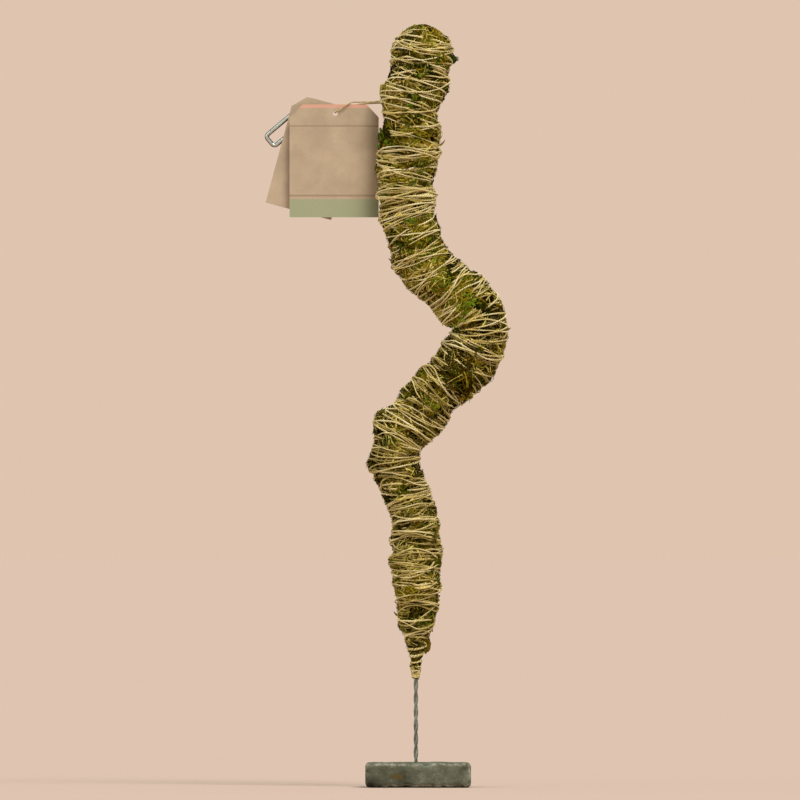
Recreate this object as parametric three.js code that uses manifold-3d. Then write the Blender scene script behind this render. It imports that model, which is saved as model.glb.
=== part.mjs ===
// A bendable moss pole standing in a cast block, with two cards and a U-shaped pin on its string.
// Millimetres, +Z up. The origin is the middle of the block's underside.
// The pole stands bent in the XZ plane.
import * as THREE from 'three';
import { mergeVertices } from 'three/addons/utils/BufferGeometryUtils.js';
import Module from 'manifold-3d';

const wasm = await Module();
wasm.setup();

// Clearances
const SEAT_GAP = 0.3; // between pieces that touch on the real object
const BORE_GAP = 0.95; // between the twisted core and the moss packed round it
const LAY_GAP = 0.6; // between the moss and the twine laid on it

// Block
const BLOCK_SIDE = 102;
const BLOCK_HEIGHT = 24;
const BLOCK_CORNER = 5; // radius of the upright edges
const BLOCK_EASE = 2.4; // rounding of the edges above and below
const STAKE_DEPTH = 17; // how deep the wire stands in the block

// Core of two wires twisted together
const WIRE = 2.1;
const WIRE_SPACING = 2.7; // between the two wires' middles
const TWIST_LENGTH = 26; // one full turn

// Route of the pole: corners as [x, z], each rounded to its bend radius
const STAKE_X = -2;
const POLE_CORNERS = [
  { at: [STAKE_X, 112], bend: 90 },
  { at: [-1.2, 249], bend: 80 },
  { at: [-26.8, 328.4], bend: 31 },
  { at: [69.6, 438.2], bend: 30 },
  { at: [-11.2, 520.5], bend: 84 },
  { at: [-7.7, 642], bend: 150 },
  { at: [3, 696], bend: 90 },
];
const CROWN_RISE = 36.5; // from the last corner to the crown's top
const CROWN_SWAY = 0.8; // and to the right

// Wire end that leaves the crown at the side
const HOOK_DROP = 2; // from the last corner down to the hook's corner
const HOOK_BEND = 14;
const HOOK_REACH = 36.5;
const HOOK_RISE = 5.5;

// Half thickness of the moss, at distances along the core from the stake's foot
const MOSS_START = 97;
const MOSS_GIRTH = [
  [MOSS_START, 4.6],
  [114, 6.2],
  [134, 11.2],
  [153, 18.8],
  [184, 22.2],
  [212, 24],
  [250, 22.8],
  [321, 25.6],
  [389, 26.4],
  [461, 27.4],
  [519, 27],
  [576, 26.9],
  [592, 28],
  [627, 26],
  [670, 28.8],
  [698, 27.6],
  [716, 29.8],
  [752, 29.4],
];
const CROWN_DOME = 27; // length over which the crown closes
const CROWN_FLAT = 0.54; // how far below its tip the dome ends flat

// Bends, with the degrees that each can turn.
// Side bends turn about Y, and the others tip to the front or back.
// The corner bends lie on the route's corners, counted from 0, with a tipping bend between each two.
const WIRE_BEND = { along: 70, side: false, least: -45, most: 45 };
const LOW_BEND = { along: 172, side: true, least: -24, most: 24 };
const CORNER_BENDS = [
  { corner: 2, side: true, least: -36, most: 20 },
  { corner: 3, side: true, least: 0, most: 40 },
  { corner: 4, side: true, least: -32, most: 20 },
];
const TIPPING = { side: false, least: -24, most: 24 };
const CROWN_LENGTH = 52.5; // from the last bend to the crown's top
const BEND_SPARE = 0.7; // degrees of spare room in each half of a bend
const BEND_THROAT = 1.6; // half the width of a bend at its axis

// Binding twine
const TWINE = 2.2;
const TWINE_PITCH = 14.5;
const TIE_PITCH = 5.6; // closer turns on the tapered foot
const TWINE_MARGIN = 1.2; // from a moss edge to the nearest turn
const TWINE_TILT = 2.4; // how far each turn leans along the pole
const CROWN_TWINE_END = 11; // below the crown's top

// Cards, their string and the pin
const CARD_THICK = 0.5;
const CARD_CHAMFER = 12.5;
const CARD_HEIGHT = 108.5;
const PUNCH = 5.2; // diameter of the hole for the string
const PUNCH_BELOW_TOP = 8.7;
const PUNCH_AT = [-79.5, 647]; // both cards hang at this x and z
const FRONT_TAG = { width: 86.5, left: 43.9, curl: 50, curlStart: 62, depth: 12.5 };
const FOLDED_CARD = { width: 65, left: 42.5, lean: 15 };
const CARD_GAP = 0.7; // between the curled tag and the card behind it
const PIN_ROD = 4.2;
const PIN_SPAN = 13; // between the middles of the legs
const PIN_LEG = 44;
const PIN_CORNER = 3.4;
const PIN_CROWN = [-62.9, -26.7]; // x and z from the holes in the cards
const PIN_RISE = 40; // degrees of the legs above level
const STRING = 1.6;
const STRING_ROUTE = [
  [-30.32, 12.25, 658.69],
  [-32.84, 13.48, 659.19],
  [-44, 17, 658.2],
  [-56, 15.6, 658.1],
  [-63.5, 12, 657.6],
  [-70, 10.4, 654.2],
  [-76, 10.2, 649.9],
  [-79.1, 12.4, 648.2],
  [-79.5, 17, 648.2],
  [-79.5, 24, 648.2],
  [-78.4, 28, 649],
  [-72, 29.6, 652],
  [-60, 28.4, 655.8],
  [-44, 26.5, 657.2],
  [-29, 26.9, 657.6],
  [-24.38, 24.3, 657.51],
  [-22.64, 22.07, 657.17],
];

// Facets
const MOSS_SIDES = 14;
const MOSS_STEP = 11;
const WIRE_SIDES = 5;
const STAKE_SIDES = 6;
const TWIST_STEPS = 7;
const TWINE_SIDES = 5;
const TWINE_STEPS = MOSS_SIDES; // so that its steps lie along the moss's facets
const STRING_SIDES = 8;
const STRING_STEPS = 2; // between each two points
const PIN_SIDES = 10;
const PIN_STEPS = 5; // round each corner
const HOOK_STEPS = 6;
const HOLE_SIDES = 14;
const EASE_STEPS = 2;
const CORNER_STEPS = 3;
const CURL_STEPS = 4;
const FOLD_STEPS = 4;
const DOME_RINGS = 2; // more rings than the moss elsewhere
const BALL_RINGS = [0.35, 0.7]; // shares of a quarter turn

// Working values of the meshing
const WELD = 1e-4; // points nearer than this are one
const EDGE_TOLERANCE = 1e-3;
const SLOPE_STEP = 0.5; // to each side of where the moss's slope is taken
const STEEP = 0.9; // share of Y above which a tube starts along Y
const PUNCH_REACH = 40; // enough to pass both leaves

const FULL_TURN = 2 * Math.PI;
const radians = THREE.MathUtils.degToRad;
const mix = THREE.MathUtils.lerp;
const BACK = new THREE.Vector3(0, 1, 0);
const RIGHT = new THREE.Vector3(1, 0, 0);

// Routes in the XZ plane

function makeRoute(start, corners, end) {
  const pieces = [];
  const middles = [];
  let [x, z] = start;
  let length = 0;
  const run = (distance, heading, curve) => {
    pieces.push({ from: length, x, z, heading, curve });
    length += distance;
    ({ x, z } = advance(pieces.at(-1), distance));
  };
  corners.forEach(({ at, bend }, i) => {
    const next = i + 1 < corners.length ? corners[i + 1].at : end;
    const before = i > 0 ? corners[i - 1].at : start;
    const headingIn = Math.atan2(at[0] - before[0], at[1] - before[1]);
    const headingOut = Math.atan2(next[0] - at[0], next[1] - at[1]);
    const turn = THREE.MathUtils.euclideanModulo(headingOut - headingIn + Math.PI, FULL_TURN) - Math.PI;
    const cutBack = bend * Math.tan(Math.abs(turn) / 2);
    const round = bend * Math.abs(turn);
    run(Math.hypot(at[0] - x, at[1] - z) - cutBack, headingIn, 0);
    middles.push(length + round / 2);
    run(round, headingIn, Math.sign(turn) / bend);
  });
  run(Math.hypot(end[0] - x, end[1] - z), Math.atan2(end[0] - x, end[1] - z), 0);
  return { pieces, middles, length };
}

function advance(piece, distance) {
  const { x, z, heading, curve } = piece;
  const turned = heading + curve * distance;
  if (curve === 0) {
    return { x: x + distance * Math.sin(heading), z: z + distance * Math.cos(heading), heading };
  }
  return {
    x: x + (Math.cos(heading) - Math.cos(turned)) / curve,
    z: z + (Math.sin(turned) - Math.sin(heading)) / curve,
    heading: turned,
  };
}

// The route's point, direction and right-hand side at a distance along it
function frameAt(route, distance) {
  const piece = route.pieces.findLast((p) => p.from <= distance) ?? route.pieces[0];
  const { x, z, heading } = advance(piece, distance - piece.from);
  return {
    point: new THREE.Vector3(x, 0, z),
    along: new THREE.Vector3(Math.sin(heading), 0, Math.cos(heading)),
    right: new THREE.Vector3(Math.cos(heading), 0, -Math.sin(heading)),
  };
}

// A point round the route: angle 0 is to the right and a quarter turn is to the back
function pointRound(route, distance, angle, radius) {
  const { point, right } = frameAt(route, distance);
  point.addScaledVector(right, radius * Math.cos(angle));
  return point.addScaledVector(BACK, radius * Math.sin(angle));
}

// Points along a route: the ends of its straight runs, and even steps round its bends
function routePoints(route, bendSteps) {
  const ends = [...route.pieces.slice(1).map((p) => p.from), route.length];
  const distances = route.pieces.flatMap(({ from, curve }, i) => {
    const steps = curve === 0 ? 1 : bendSteps;
    return Array.from({ length: steps }, (_, step) => mix(from, ends[i], step / steps));
  });
  return [...distances, route.length].map((distance) => frameAt(route, distance).point);
}

// Closed meshes from rings of points

function closedGeometry(rings, looped) {
  const sides = rings[0].length;
  const points = rings.flat();
  const faces = [];
  const rows = looped ? rings.length : rings.length - 1;
  for (let i = 0; i < rows; i += 1) {
    for (let j = 0; j < sides; j += 1) {
      const a = i * sides + j;
      const b = i * sides + ((j + 1) % sides);
      const c = ((i + 1) % rings.length) * sides + ((j + 1) % sides);
      const d = ((i + 1) % rings.length) * sides + j;
      faces.push(a, b, c, a, c, d);
    }
  }
  if (!looped) {
    const last = (rings.length - 1) * sides;
    const bottom = points.push(middleOf(rings[0])) - 1;
    const top = points.push(middleOf(rings.at(-1))) - 1;
    for (let j = 0; j < sides; j += 1) {
      const next = (j + 1) % sides;
      faces.push(bottom, next, j, top, last + j, last + next);
    }
  }
  const geometry = new THREE.BufferGeometry().setFromPoints(points);
  geometry.setIndex(faces);
  return geometry;
}

function middleOf(points) {
  const sum = points.reduce((total, p) => total.add(p), new THREE.Vector3());
  return sum.divideScalar(points.length);
}

// A round tube along points. With roundEnd its far end is half a ball.
function tubeGeometry(points, diameter, sides, roundEnd = false) {
  const radius = diameter / 2;
  const directions = points.map((p, i) => {
    const ahead = points[Math.min(i + 1, points.length - 1)];
    const behind = points[Math.max(i - 1, 0)];
    return ahead.clone().sub(behind).normalize();
  });
  const first = Math.abs(directions[0].y) < STEEP ? BACK : RIGHT;
  let across = first.clone().cross(directions[0]).normalize();
  const ring = (centre, direction, size) =>
    Array.from({ length: sides }, (_, j) => {
      const angle = (j / sides) * FULL_TURN;
      const other = direction.clone().cross(across);
      const point = centre.clone().addScaledVector(across, size * Math.cos(angle));
      return point.addScaledVector(other, size * Math.sin(angle));
    });
  const rings = points.map((p, i) => {
    across = across.clone().addScaledVector(directions[i], -across.dot(directions[i])).normalize();
    return ring(p, directions[i], radius);
  });
  if (roundEnd) {
    const end = points.at(-1);
    const direction = directions.at(-1);
    for (const part of BALL_RINGS) {
      const lift = (part * Math.PI) / 2;
      const centre = end.clone().addScaledVector(direction, radius * Math.sin(lift));
      rings.push(ring(centre, direction, radius * Math.cos(lift)));
    }
  }
  return closedGeometry(rings, false);
}

// Boolean cuts

function toManifold(geometry) {
  const bare = geometry.clone();
  bare.deleteAttribute('normal');
  bare.deleteAttribute('uv');
  const merged = mergeVertices(bare, WELD);
  return new wasm.Manifold(new wasm.Mesh({
    numProp: 3,
    vertProperties: Float32Array.from(merged.attributes.position.array),
    triVerts: Uint32Array.from(merged.index.array),
  }));
}

function subtract(geometry, cutter) {
  const mesh = toManifold(geometry).subtract(toManifold(cutter)).getMesh();
  const cut = new THREE.BufferGeometry();
  cut.setAttribute('position', new THREE.BufferAttribute(Float32Array.from(mesh.vertProperties), 3));
  cut.setIndex(Array.from(mesh.triVerts));
  return cut;
}

// Materials

const surface = (color, roughness, metalness = 0) => () =>
  new THREE.MeshStandardMaterial({ color, roughness, metalness });
const castStone = surface(0x5c5b49, 0.95);
const galvanised = surface(0x8b8b80, 0.45, 1);
const moss = surface(0x5a5a1e, 1);
const brownMoss = surface(0x4b3a18, 1);
const jute = surface(0xb89a62, 0.9);
const kraft = surface(0xb7a184, 0.85);
const brightSteel = surface(0xc8ccc6, 0.2, 1);

const model = new THREE.Group();

function place(name, geometry, material, group = model) {
  geometry.computeVertexNormals();
  const mesh = new THREE.Mesh(geometry, material());
  mesh.name = name;
  group.add(mesh);
  return mesh;
}

// Block with a blind hole for the stake

const CORE_WIDTH = WIRE_SPACING + WIRE;
const STAKE_HOLE = (CORE_WIDTH + 2 * SEAT_GAP) / Math.cos(Math.PI / HOLE_SIDES);

function blockGeometry() {
  const half = BLOCK_SIDE / 2 - BLOCK_EASE;
  const corner = BLOCK_CORNER - BLOCK_EASE;
  const outline = new THREE.Shape();
  [[1, 1], [-1, 1], [-1, -1], [1, -1]].forEach(([sx, sy], quarter) => {
    const start = (quarter * Math.PI) / 2;
    outline.absarc(sx * (half - corner), sy * (half - corner), corner, start, start + Math.PI / 2);
  });
  const body = new THREE.ExtrudeGeometry(outline, {
    depth: BLOCK_HEIGHT - 2 * BLOCK_EASE,
    bevelSize: BLOCK_EASE,
    bevelThickness: BLOCK_EASE,
    bevelSegments: EASE_STEPS,
    curveSegments: CORNER_STEPS,
  });
  body.translate(0, 0, BLOCK_EASE);
  const reach = 2 * STAKE_DEPTH;
  const drill = new THREE.CylinderGeometry(STAKE_HOLE / 2, STAKE_HOLE / 2, reach, HOLE_SIDES);
  drill.rotateX(Math.PI / 2);
  drill.translate(STAKE_X, 0, BLOCK_HEIGHT - STAKE_DEPTH + reach / 2);
  return subtract(body, drill);
}

place('stand_block', blockGeometry(), castStone);

// Core: each length of both wires ends in a half ball on the axis of the bend above it

const FOOT = [STAKE_X, BLOCK_HEIGHT - STAKE_DEPTH + SEAT_GAP];
const [LAST_X, LAST_Z] = POLE_CORNERS.at(-1).at;
const pole = makeRoute(FOOT, POLE_CORNERS, [LAST_X + CROWN_SWAY, LAST_Z + CROWN_RISE]);

function mossBendList() {
  const cornerBends = CORNER_BENDS.map((bend) => ({ ...bend, along: pole.middles[bend.corner] }));
  const sideBends = [LOW_BEND, ...cornerBends];
  const between = cornerBends.map(({ along }, i) => {
    const middle = (sideBends[i].along + along) / 2;
    return { ...TIPPING, along: middle };
  });
  const crownBend = { ...TIPPING, along: pole.length - CROWN_LENGTH };
  return sideBends.flatMap((bend, i) => [bend, between[i] ?? crownBend]);
}

const mossBends = mossBendList();
const bends = [WIRE_BEND, ...mossBends];
const hookStart = frameAt(pole, mossBends.at(-1).along).point;
const hookCorner = { at: [LAST_X, LAST_Z - HOOK_DROP], bend: HOOK_BEND };
const hookEnd = [LAST_X + HOOK_REACH, LAST_Z - HOOK_DROP + HOOK_RISE];
const hook = makeRoute([hookStart.x, hookStart.z], [hookCorner], hookEnd);

// Both wires lie on a bend's axis there: side by side for a bend to the front, else one behind the other
const twistAt = (bend) => (bend.side ? Math.PI / 2 : 0);

function twistedWires(route, from, to, twistFrom, twistTo, startGap, sides, roundEnd) {
  const halfTurns = ((to - from) / TWIST_LENGTH) * 2 - (twistTo - twistFrom) / Math.PI;
  const twist = twistTo - twistFrom + Math.PI * Math.round(halfTurns);
  const steps = Math.ceil((Math.abs(twist) / FULL_TURN) * TWIST_STEPS);
  const start = startGap / (to - from);
  return [0, Math.PI].map((half) => {
    const points = Array.from({ length: steps + 1 }, (_, i) => {
      const t = mix(start, 1, i / steps);
      return pointRound(route, mix(from, to, t), twistFrom + half + twist * t, WIRE_SPACING / 2);
    });
    return tubeGeometry(points, WIRE, sides, roundEnd);
  });
}

function placeWires(name, wires) {
  place(`${name}_a`, wires[0], galvanised);
  place(`${name}_b`, wires[1], galvanised);
}

const KNUCKLE_GAP = WIRE / 2 + SEAT_GAP;
placeWires(
  'stake_wire',
  twistedWires(pole, 0, WIRE_BEND.along, 0, twistAt(WIRE_BEND), 0, STAKE_SIDES, true),
);
bends.forEach((bend, i) => {
  const next = bends[i + 1];
  const [route, from, to] = next ? [pole, bend.along, next.along] : [hook, 0, hook.length];
  const twistTo = next ? twistAt(next) : Math.PI / 2;
  const sides = i === 0 ? STAKE_SIDES : WIRE_SIDES;
  const wires = twistedWires(route, from, to, twistAt(bend), twistTo, KNUCKLE_GAP, sides, Boolean(next));
  placeWires(`core_wire_${i + 1}`, wires);
});

// Moss: lengths with slanted ends that let them tip at each bend, and a soft collar that fills each bend

const CROWN_FOOT = pole.length - CROWN_DOME;
const BORE = CORE_WIDTH / 2 + BORE_GAP;

function girthAt(distance) {
  if (distance > CROWN_FOOT) {
    const share = Math.min((distance - CROWN_FOOT) / CROWN_DOME, 1);
    return girthAt(CROWN_FOOT) * Math.sqrt(1 - share * share);
  }
  const i = MOSS_GIRTH.findIndex(([at]) => at >= distance);
  if (i <= 0) {
    return i === 0 ? MOSS_GIRTH[0][1] : MOSS_GIRTH.at(-1)[1];
  }
  const [[fromAt, from], [toAt, to]] = [MOSS_GIRTH[i - 1], MOSS_GIRTH[i]];
  return mix(from, to, THREE.MathUtils.smoothstep(distance, fromAt, toAt));
}

const boreAt = () => BORE;

// Half the width of a bend's opening at a point round the core: it is widest on the sides that close
function bendHalfWidth(bend, angle, radius) {
  const closing = Math.cos(angle + (bend.side ? 0 : Math.PI / 2));
  const degrees = Math.abs(closing > 0 ? bend.most : bend.least) / 2 + BEND_SPARE;
  return BEND_THROAT + radius * Math.abs(closing) * Math.tan(radians(degrees));
}

// The distance along the pole where the moss meets a bend's slanted face, above (1) or below (-1) the bend
function edgeAlong(bend, side, angle, radiusAt, inset) {
  const { point, along } = frameAt(pole, bend.along);
  const reach = 2 * girthAt(bend.along);
  let [near, far] = [0, reach];
  while (far - near > EDGE_TOLERANCE) {
    const middle = (near + far) / 2;
    const distance = bend.along + side * middle;
    const radius = radiusAt(distance);
    const height = side * pointRound(pole, distance, angle, radius).sub(point).dot(along);
    if (height < bendHalfWidth(bend, angle, radius) - inset) {
      near = middle;
    } else {
      far = middle;
    }
  }
  return bend.along + side * far;
}

const angles = Array.from({ length: MOSS_SIDES }, (_, j) => (j / MOSS_SIDES) * FULL_TURN);

// Rings of moss between two edges, each a distance along the pole for every angle
function mossRings(low, high, radiusAt, steps) {
  return Array.from({ length: steps + 1 }, (_, i) =>
    angles.map((angle, j) => {
      const distance = mix(low[j], high[j], i / steps);
      return pointRound(pole, distance, angle, radiusAt(distance));
    }),
  );
}

function mossSleeve(lowEdge, highEdge) {
  const [low, high] = [lowEdge(girthAt), highEdge(girthAt)];
  const steps = Math.max(2, Math.round((Math.max(...high) - Math.min(...low)) / MOSS_STEP));
  const skin = mossRings(low, high, girthAt, steps);
  const bore = mossRings(lowEdge(boreAt), highEdge(boreAt), boreAt, steps);
  return closedGeometry([...skin, ...bore.reverse()], true);
}

const edgeOf = (bend, side, inset = 0) => (radiusAt) =>
  angles.map((angle) => edgeAlong(bend, side, angle, radiusAt, inset));
const mossFoot = () => angles.map(() => MOSS_START);

function crownGeometry(bend) {
  const low = edgeOf(bend, 1)(girthAt);
  const high = angles.map(() => pole.length - CROWN_FLAT);
  const steps = Math.round((pole.length - bend.along) / MOSS_STEP) + DOME_RINGS;
  const shell = closedGeometry(mossRings(low, high, girthAt, steps), false);
  return subtract(shell, tubeGeometry(routePoints(hook, HOOK_STEPS), 2 * BORE, MOSS_SIDES));
}

mossBends.forEach((bend, i) => {
  const lowEdge = i === 0 ? mossFoot : edgeOf(mossBends[i - 1], 1);
  place(`moss_length_${i + 1}`, mossSleeve(lowEdge, edgeOf(bend, -1)), moss);
  const collar = mossSleeve(edgeOf(bend, -1, SEAT_GAP), edgeOf(bend, 1, SEAT_GAP));
  place(`moss_collar_${i + 1}`, collar, brownMoss);
});
place('moss_crown', crownGeometry(mossBends.at(-1)), moss);

// Twine wound round each length of moss

// A point at a height above the moss, square to its slope
function pointOnMoss(distance, angle, height) {
  const { along } = frameAt(pole, distance);
  const slope = (girthAt(distance + SLOPE_STEP) - girthAt(distance - SLOPE_STEP)) / (2 * SLOPE_STEP);
  const skin = pointRound(pole, distance, angle, girthAt(distance));
  const out = pointRound(pole, distance, angle, 1).sub(frameAt(pole, distance).point);
  return skin.addScaledVector(out.addScaledVector(along, -slope).normalize(), height);
}

function windingSpan(from, to, pitch) {
  const margin = TWINE / 2 + TWINE_MARGIN + TWINE_TILT;
  const [low, high] = [from + margin, to - margin];
  const loops = Math.max(1, Math.round((high - low) / pitch));
  return { low, high, loops };
}

function windingPoints({ low, high, loops }, startAngle) {
  const count = loops * TWINE_STEPS;
  const points = Array.from({ length: count + 1 }, (_, i) => {
    const angle = startAngle + (i / TWINE_STEPS) * FULL_TURN;
    const distance = mix(low, high, i / count) + TWINE_TILT * Math.sin(angle);
    return pointOnMoss(distance, angle, LAY_GAP + TWINE / 2);
  });
  return withStraightEnds(points);
}

function withStraightEnds(points) {
  const before = points[0].clone().sub(points[1]).setLength(TWINE).add(points[0]);
  const after = points.at(-1).clone().sub(points.at(-2)).setLength(TWINE).add(points.at(-1));
  return [before, ...points, after];
}

// The least gap between turns, over points at least half a turn apart
function leastGap(points) {
  let least = Infinity;
  for (let i = 0; i < points.length; i += 1) {
    for (let j = i + TWINE_STEPS / 2; j < points.length; j += 1) {
      least = Math.min(least, points[i].distanceTo(points[j]) - TWINE);
    }
  }
  return least;
}

function placeWinding(name, span, startAngle) {
  const points = windingPoints(span, startAngle);
  console.log(`${name}: least gap to itself ${leastGap(points).toFixed(2)} mm`);
  place(name, tubeGeometry(points, TWINE, TWINE_SIDES), jute);
}

const topOf = (bend) => Math.max(...edgeOf(bend, 1)(girthAt));
const bottomOf = (bend) => Math.min(...edgeOf(bend, -1)(girthAt));

mossBends.forEach((bend, i) => {
  const from = i === 0 ? MOSS_START : topOf(mossBends[i - 1]);
  const span = windingSpan(from, bottomOf(bend), i === 0 ? TIE_PITCH : TWINE_PITCH);
  placeWinding(`twine_winding_${i + 1}`, span, angles[i % (MOSS_SIDES / 2)]);
});

// The crown's turns pass above and below the wire's end, as near to midway as the moss's facets allow
const crownSpan = windingSpan(topOf(mossBends.at(-1)), pole.length - CROWN_TWINE_END, TWINE_PITCH);
const hookRise = (HOOK_RISE * girthAt(CROWN_FOOT)) / HOOK_REACH;
const hookAlong = pole.length - CROWN_RISE - HOOK_DROP + hookRise;
const turnsToHook = (crownSpan.loops * (hookAlong - crownSpan.low)) / (crownSpan.high - crownSpan.low);
const startFacet = Math.round(MOSS_SIDES * (1 / 2 - turnsToHook)) % MOSS_SIDES;
placeWinding('twine_winding_crown', crownSpan, angles.at(startFacet));

// Cards: a sheet standing on its outline seen from above, with cut upper corners

function cardGeometry(line, width) {
  const rings = line.map(([across, back], i) => {
    const ahead = line[Math.min(i + 1, line.length - 1)];
    const behind = line[Math.max(i - 1, 0)];
    const along = new THREE.Vector2(ahead[0] - behind[0], ahead[1] - behind[1]).normalize();
    const cut = Math.max(0, CARD_CHAMFER - across, CARD_CHAMFER - (width - across));
    const corner = (side, height) => {
      const offset = (side * CARD_THICK) / 2;
      return new THREE.Vector3(across - offset * along.y, back + offset * along.x, height);
    };
    const top = PUNCH_BELOW_TOP - cut;
    const bottom = PUNCH_BELOW_TOP - CARD_HEIGHT;
    return [corner(1, bottom), corner(1, top), corner(-1, top), corner(-1, bottom)];
  });
  return closedGeometry(rings, false);
}

function punched(sheet, across) {
  const punch = new THREE.CylinderGeometry(PUNCH / 2, PUNCH / 2, PUNCH_REACH, HOLE_SIDES);
  punch.translate(across, 0, 0);
  return subtract(sheet, punch);
}

function cardGroup(lean, left, depth) {
  const turned = new THREE.Group();
  turned.position.set(PUNCH_AT[0], depth, PUNCH_AT[1]);
  turned.rotation.y = radians(lean);
  model.add(turned);
  const shifted = new THREE.Group();
  shifted.position.x = -left;
  turned.add(shifted);
  return shifted;
}

function frontTagLine() {
  const { width, curl, curlStart } = FRONT_TAG;
  const flat = [0, CARD_CHAMFER, curlStart].map((across) => [across, 0]);
  const curled = Array.from({ length: CURL_STEPS }, (_, i) => {
    const turn = (((i + 1) / CURL_STEPS) * (width - curlStart)) / curl;
    return [curlStart + curl * Math.sin(turn), curl * (1 - Math.cos(turn))];
  });
  return [...flat, ...curled];
}

const tagLine = frontTagLine();
place(
  'front_tag',
  punched(cardGeometry(tagLine, tagLine.at(-1)[0]), FRONT_TAG.left),
  kraft,
  cardGroup(0, FRONT_TAG.left, FRONT_TAG.depth + CARD_THICK / 2),
);

// The folded card hangs just behind the tag's curl and holds the pin between its leaves
const LEAF_STEP = PIN_ROD + 2 * SEAT_GAP + CARD_THICK;
const CURL_DEPTH = tagLine.at(-1)[1];
const FOLDED_DEPTH = FRONT_TAG.depth + CARD_THICK + CURL_DEPTH + CARD_GAP;

function foldedCardLine() {
  const { width } = FOLDED_CARD;
  const fold = LEAF_STEP / 2;
  const leaf = [0, CARD_CHAMFER, width - CARD_CHAMFER];
  const round = Array.from({ length: FOLD_STEPS + 1 }, (_, i) => {
    const turn = (i / FOLD_STEPS) * Math.PI;
    return [width - fold + fold * Math.sin(turn), fold * (1 - Math.cos(turn))];
  });
  const front = leaf.map((across) => [across, 0]);
  const back = leaf.map((across) => [across, LEAF_STEP]).reverse();
  return [...front, ...round, ...back];
}

place(
  'folded_card',
  punched(cardGeometry(foldedCardLine(), FOLDED_CARD.width), FOLDED_CARD.left),
  kraft,
  cardGroup(FOLDED_CARD.lean, FOLDED_CARD.left, FOLDED_DEPTH + CARD_THICK / 2),
);

function pinGeometry() {
  const half = PIN_SPAN / 2;
  const corners = [{ at: [half, 0], bend: PIN_CORNER }, { at: [-half, 0], bend: PIN_CORNER }];
  const route = makeRoute([half, PIN_LEG], corners, [-half, PIN_LEG]);
  return tubeGeometry(routePoints(route, PIN_STEPS), PIN_ROD, PIN_SIDES);
}

const pin = place('u_pin', pinGeometry(), brightSteel);
const pinDepth = FOLDED_DEPTH + (CARD_THICK + LEAF_STEP) / 2;
pin.position.set(PUNCH_AT[0] + PIN_CROWN[0], pinDepth, PUNCH_AT[1] + PIN_CROWN[1]);
pin.rotation.y = radians(90 - PIN_RISE);

// String from the pole, over the front tag, through both cards and back to the pole

const stringCurve = new THREE.CatmullRomCurve3(STRING_ROUTE.map((p) => new THREE.Vector3(...p)));
const stringPoints = stringCurve.getPoints(STRING_STEPS * (STRING_ROUTE.length - 1));
place('tag_string', tubeGeometry(stringPoints, STRING, STRING_SIDES), jute);

export default model;
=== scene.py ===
import math

import bpy
import numpy as np
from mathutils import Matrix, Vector
from mathutils.geometry import delaunay_2d_cdt


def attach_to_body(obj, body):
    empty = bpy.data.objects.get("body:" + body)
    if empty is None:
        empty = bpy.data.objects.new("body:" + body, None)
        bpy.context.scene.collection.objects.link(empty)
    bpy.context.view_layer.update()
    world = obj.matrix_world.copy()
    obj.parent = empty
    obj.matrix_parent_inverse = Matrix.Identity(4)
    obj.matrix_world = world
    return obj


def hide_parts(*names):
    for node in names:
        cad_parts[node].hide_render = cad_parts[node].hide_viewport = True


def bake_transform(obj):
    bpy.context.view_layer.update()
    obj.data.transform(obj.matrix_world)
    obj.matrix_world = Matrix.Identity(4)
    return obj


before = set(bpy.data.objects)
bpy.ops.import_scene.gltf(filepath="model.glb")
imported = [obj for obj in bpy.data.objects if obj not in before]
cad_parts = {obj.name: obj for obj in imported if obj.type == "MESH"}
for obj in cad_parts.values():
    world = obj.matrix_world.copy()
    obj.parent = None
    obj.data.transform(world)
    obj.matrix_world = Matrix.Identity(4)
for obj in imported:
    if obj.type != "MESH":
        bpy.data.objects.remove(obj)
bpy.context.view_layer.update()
random = np.random.default_rng(1207)

# Sizes are in metres and angles in radians. Tables divided by these are written in millimetres and degrees
MM = 1000.0
DEGREE = 180 / math.pi

# Photograph: a long lens, almost level, 0.96 mm to a pixel at the pole
PHOTO_PIXELS = 800
PIXEL = 0.00096
ORIGIN_PIXEL = (418, 787)
CAMERA_DISTANCE = 16.0
CAMERA_RISE = math.radians(-0.5)
CAMERA_SIGHT = 1000.0
SENSOR_MM = 36

# Route of the pole's core, x and z of its corners and their bend radius, as in part.mjs
FOOT = (-0.002, 0.0073)
CORNERS = [
    ((-0.002, 0.112), 0.090), ((-0.0012, 0.249), 0.080), ((-0.0268, 0.3284), 0.031),
    ((0.0696, 0.4382), 0.030), ((-0.0112, 0.5205), 0.084), ((-0.0077, 0.642), 0.150),
    ((0.003, 0.696), 0.090),
]
CROWN_TOP = (0.0038, 0.7325)
SLOPE_STEP = 0.0006
BACK = np.array([0.0, 1.0, 0.0])

# Outline of the wrapped moss: distance along the core and radius over the twine
GIRTH = np.array([
    (97, 4.6), (114, 6.2), (134, 11.2), (153, 18.8), (184, 22.2), (212, 24.0), (250, 22.8), (321, 25.6),
    (389, 26.4), (461, 27.4), (519, 27.0), (576, 26.9), (592, 28.0), (627, 26.0), (670, 28.8), (698, 27.6),
    (716, 29.8), (752, 29.4),
]) / MM
MOSS_START = GIRTH[0, 0]
CROWN_DOME = 0.027
CROWN_FLAT = 0.54
DOME_RINGS = 36
MOSS_BENDS = [0.172, 0.24766, 0.32332, 0.39288, 0.46244, 0.51643, 0.57041, 0.72897]
LAST = len(MOSS_BENDS) - 1
LAST_BORDER = 0.652
BLEND_REACH = 0.020
BLEND_RIM = 48
BLEND_SHARE = 0.9

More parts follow.
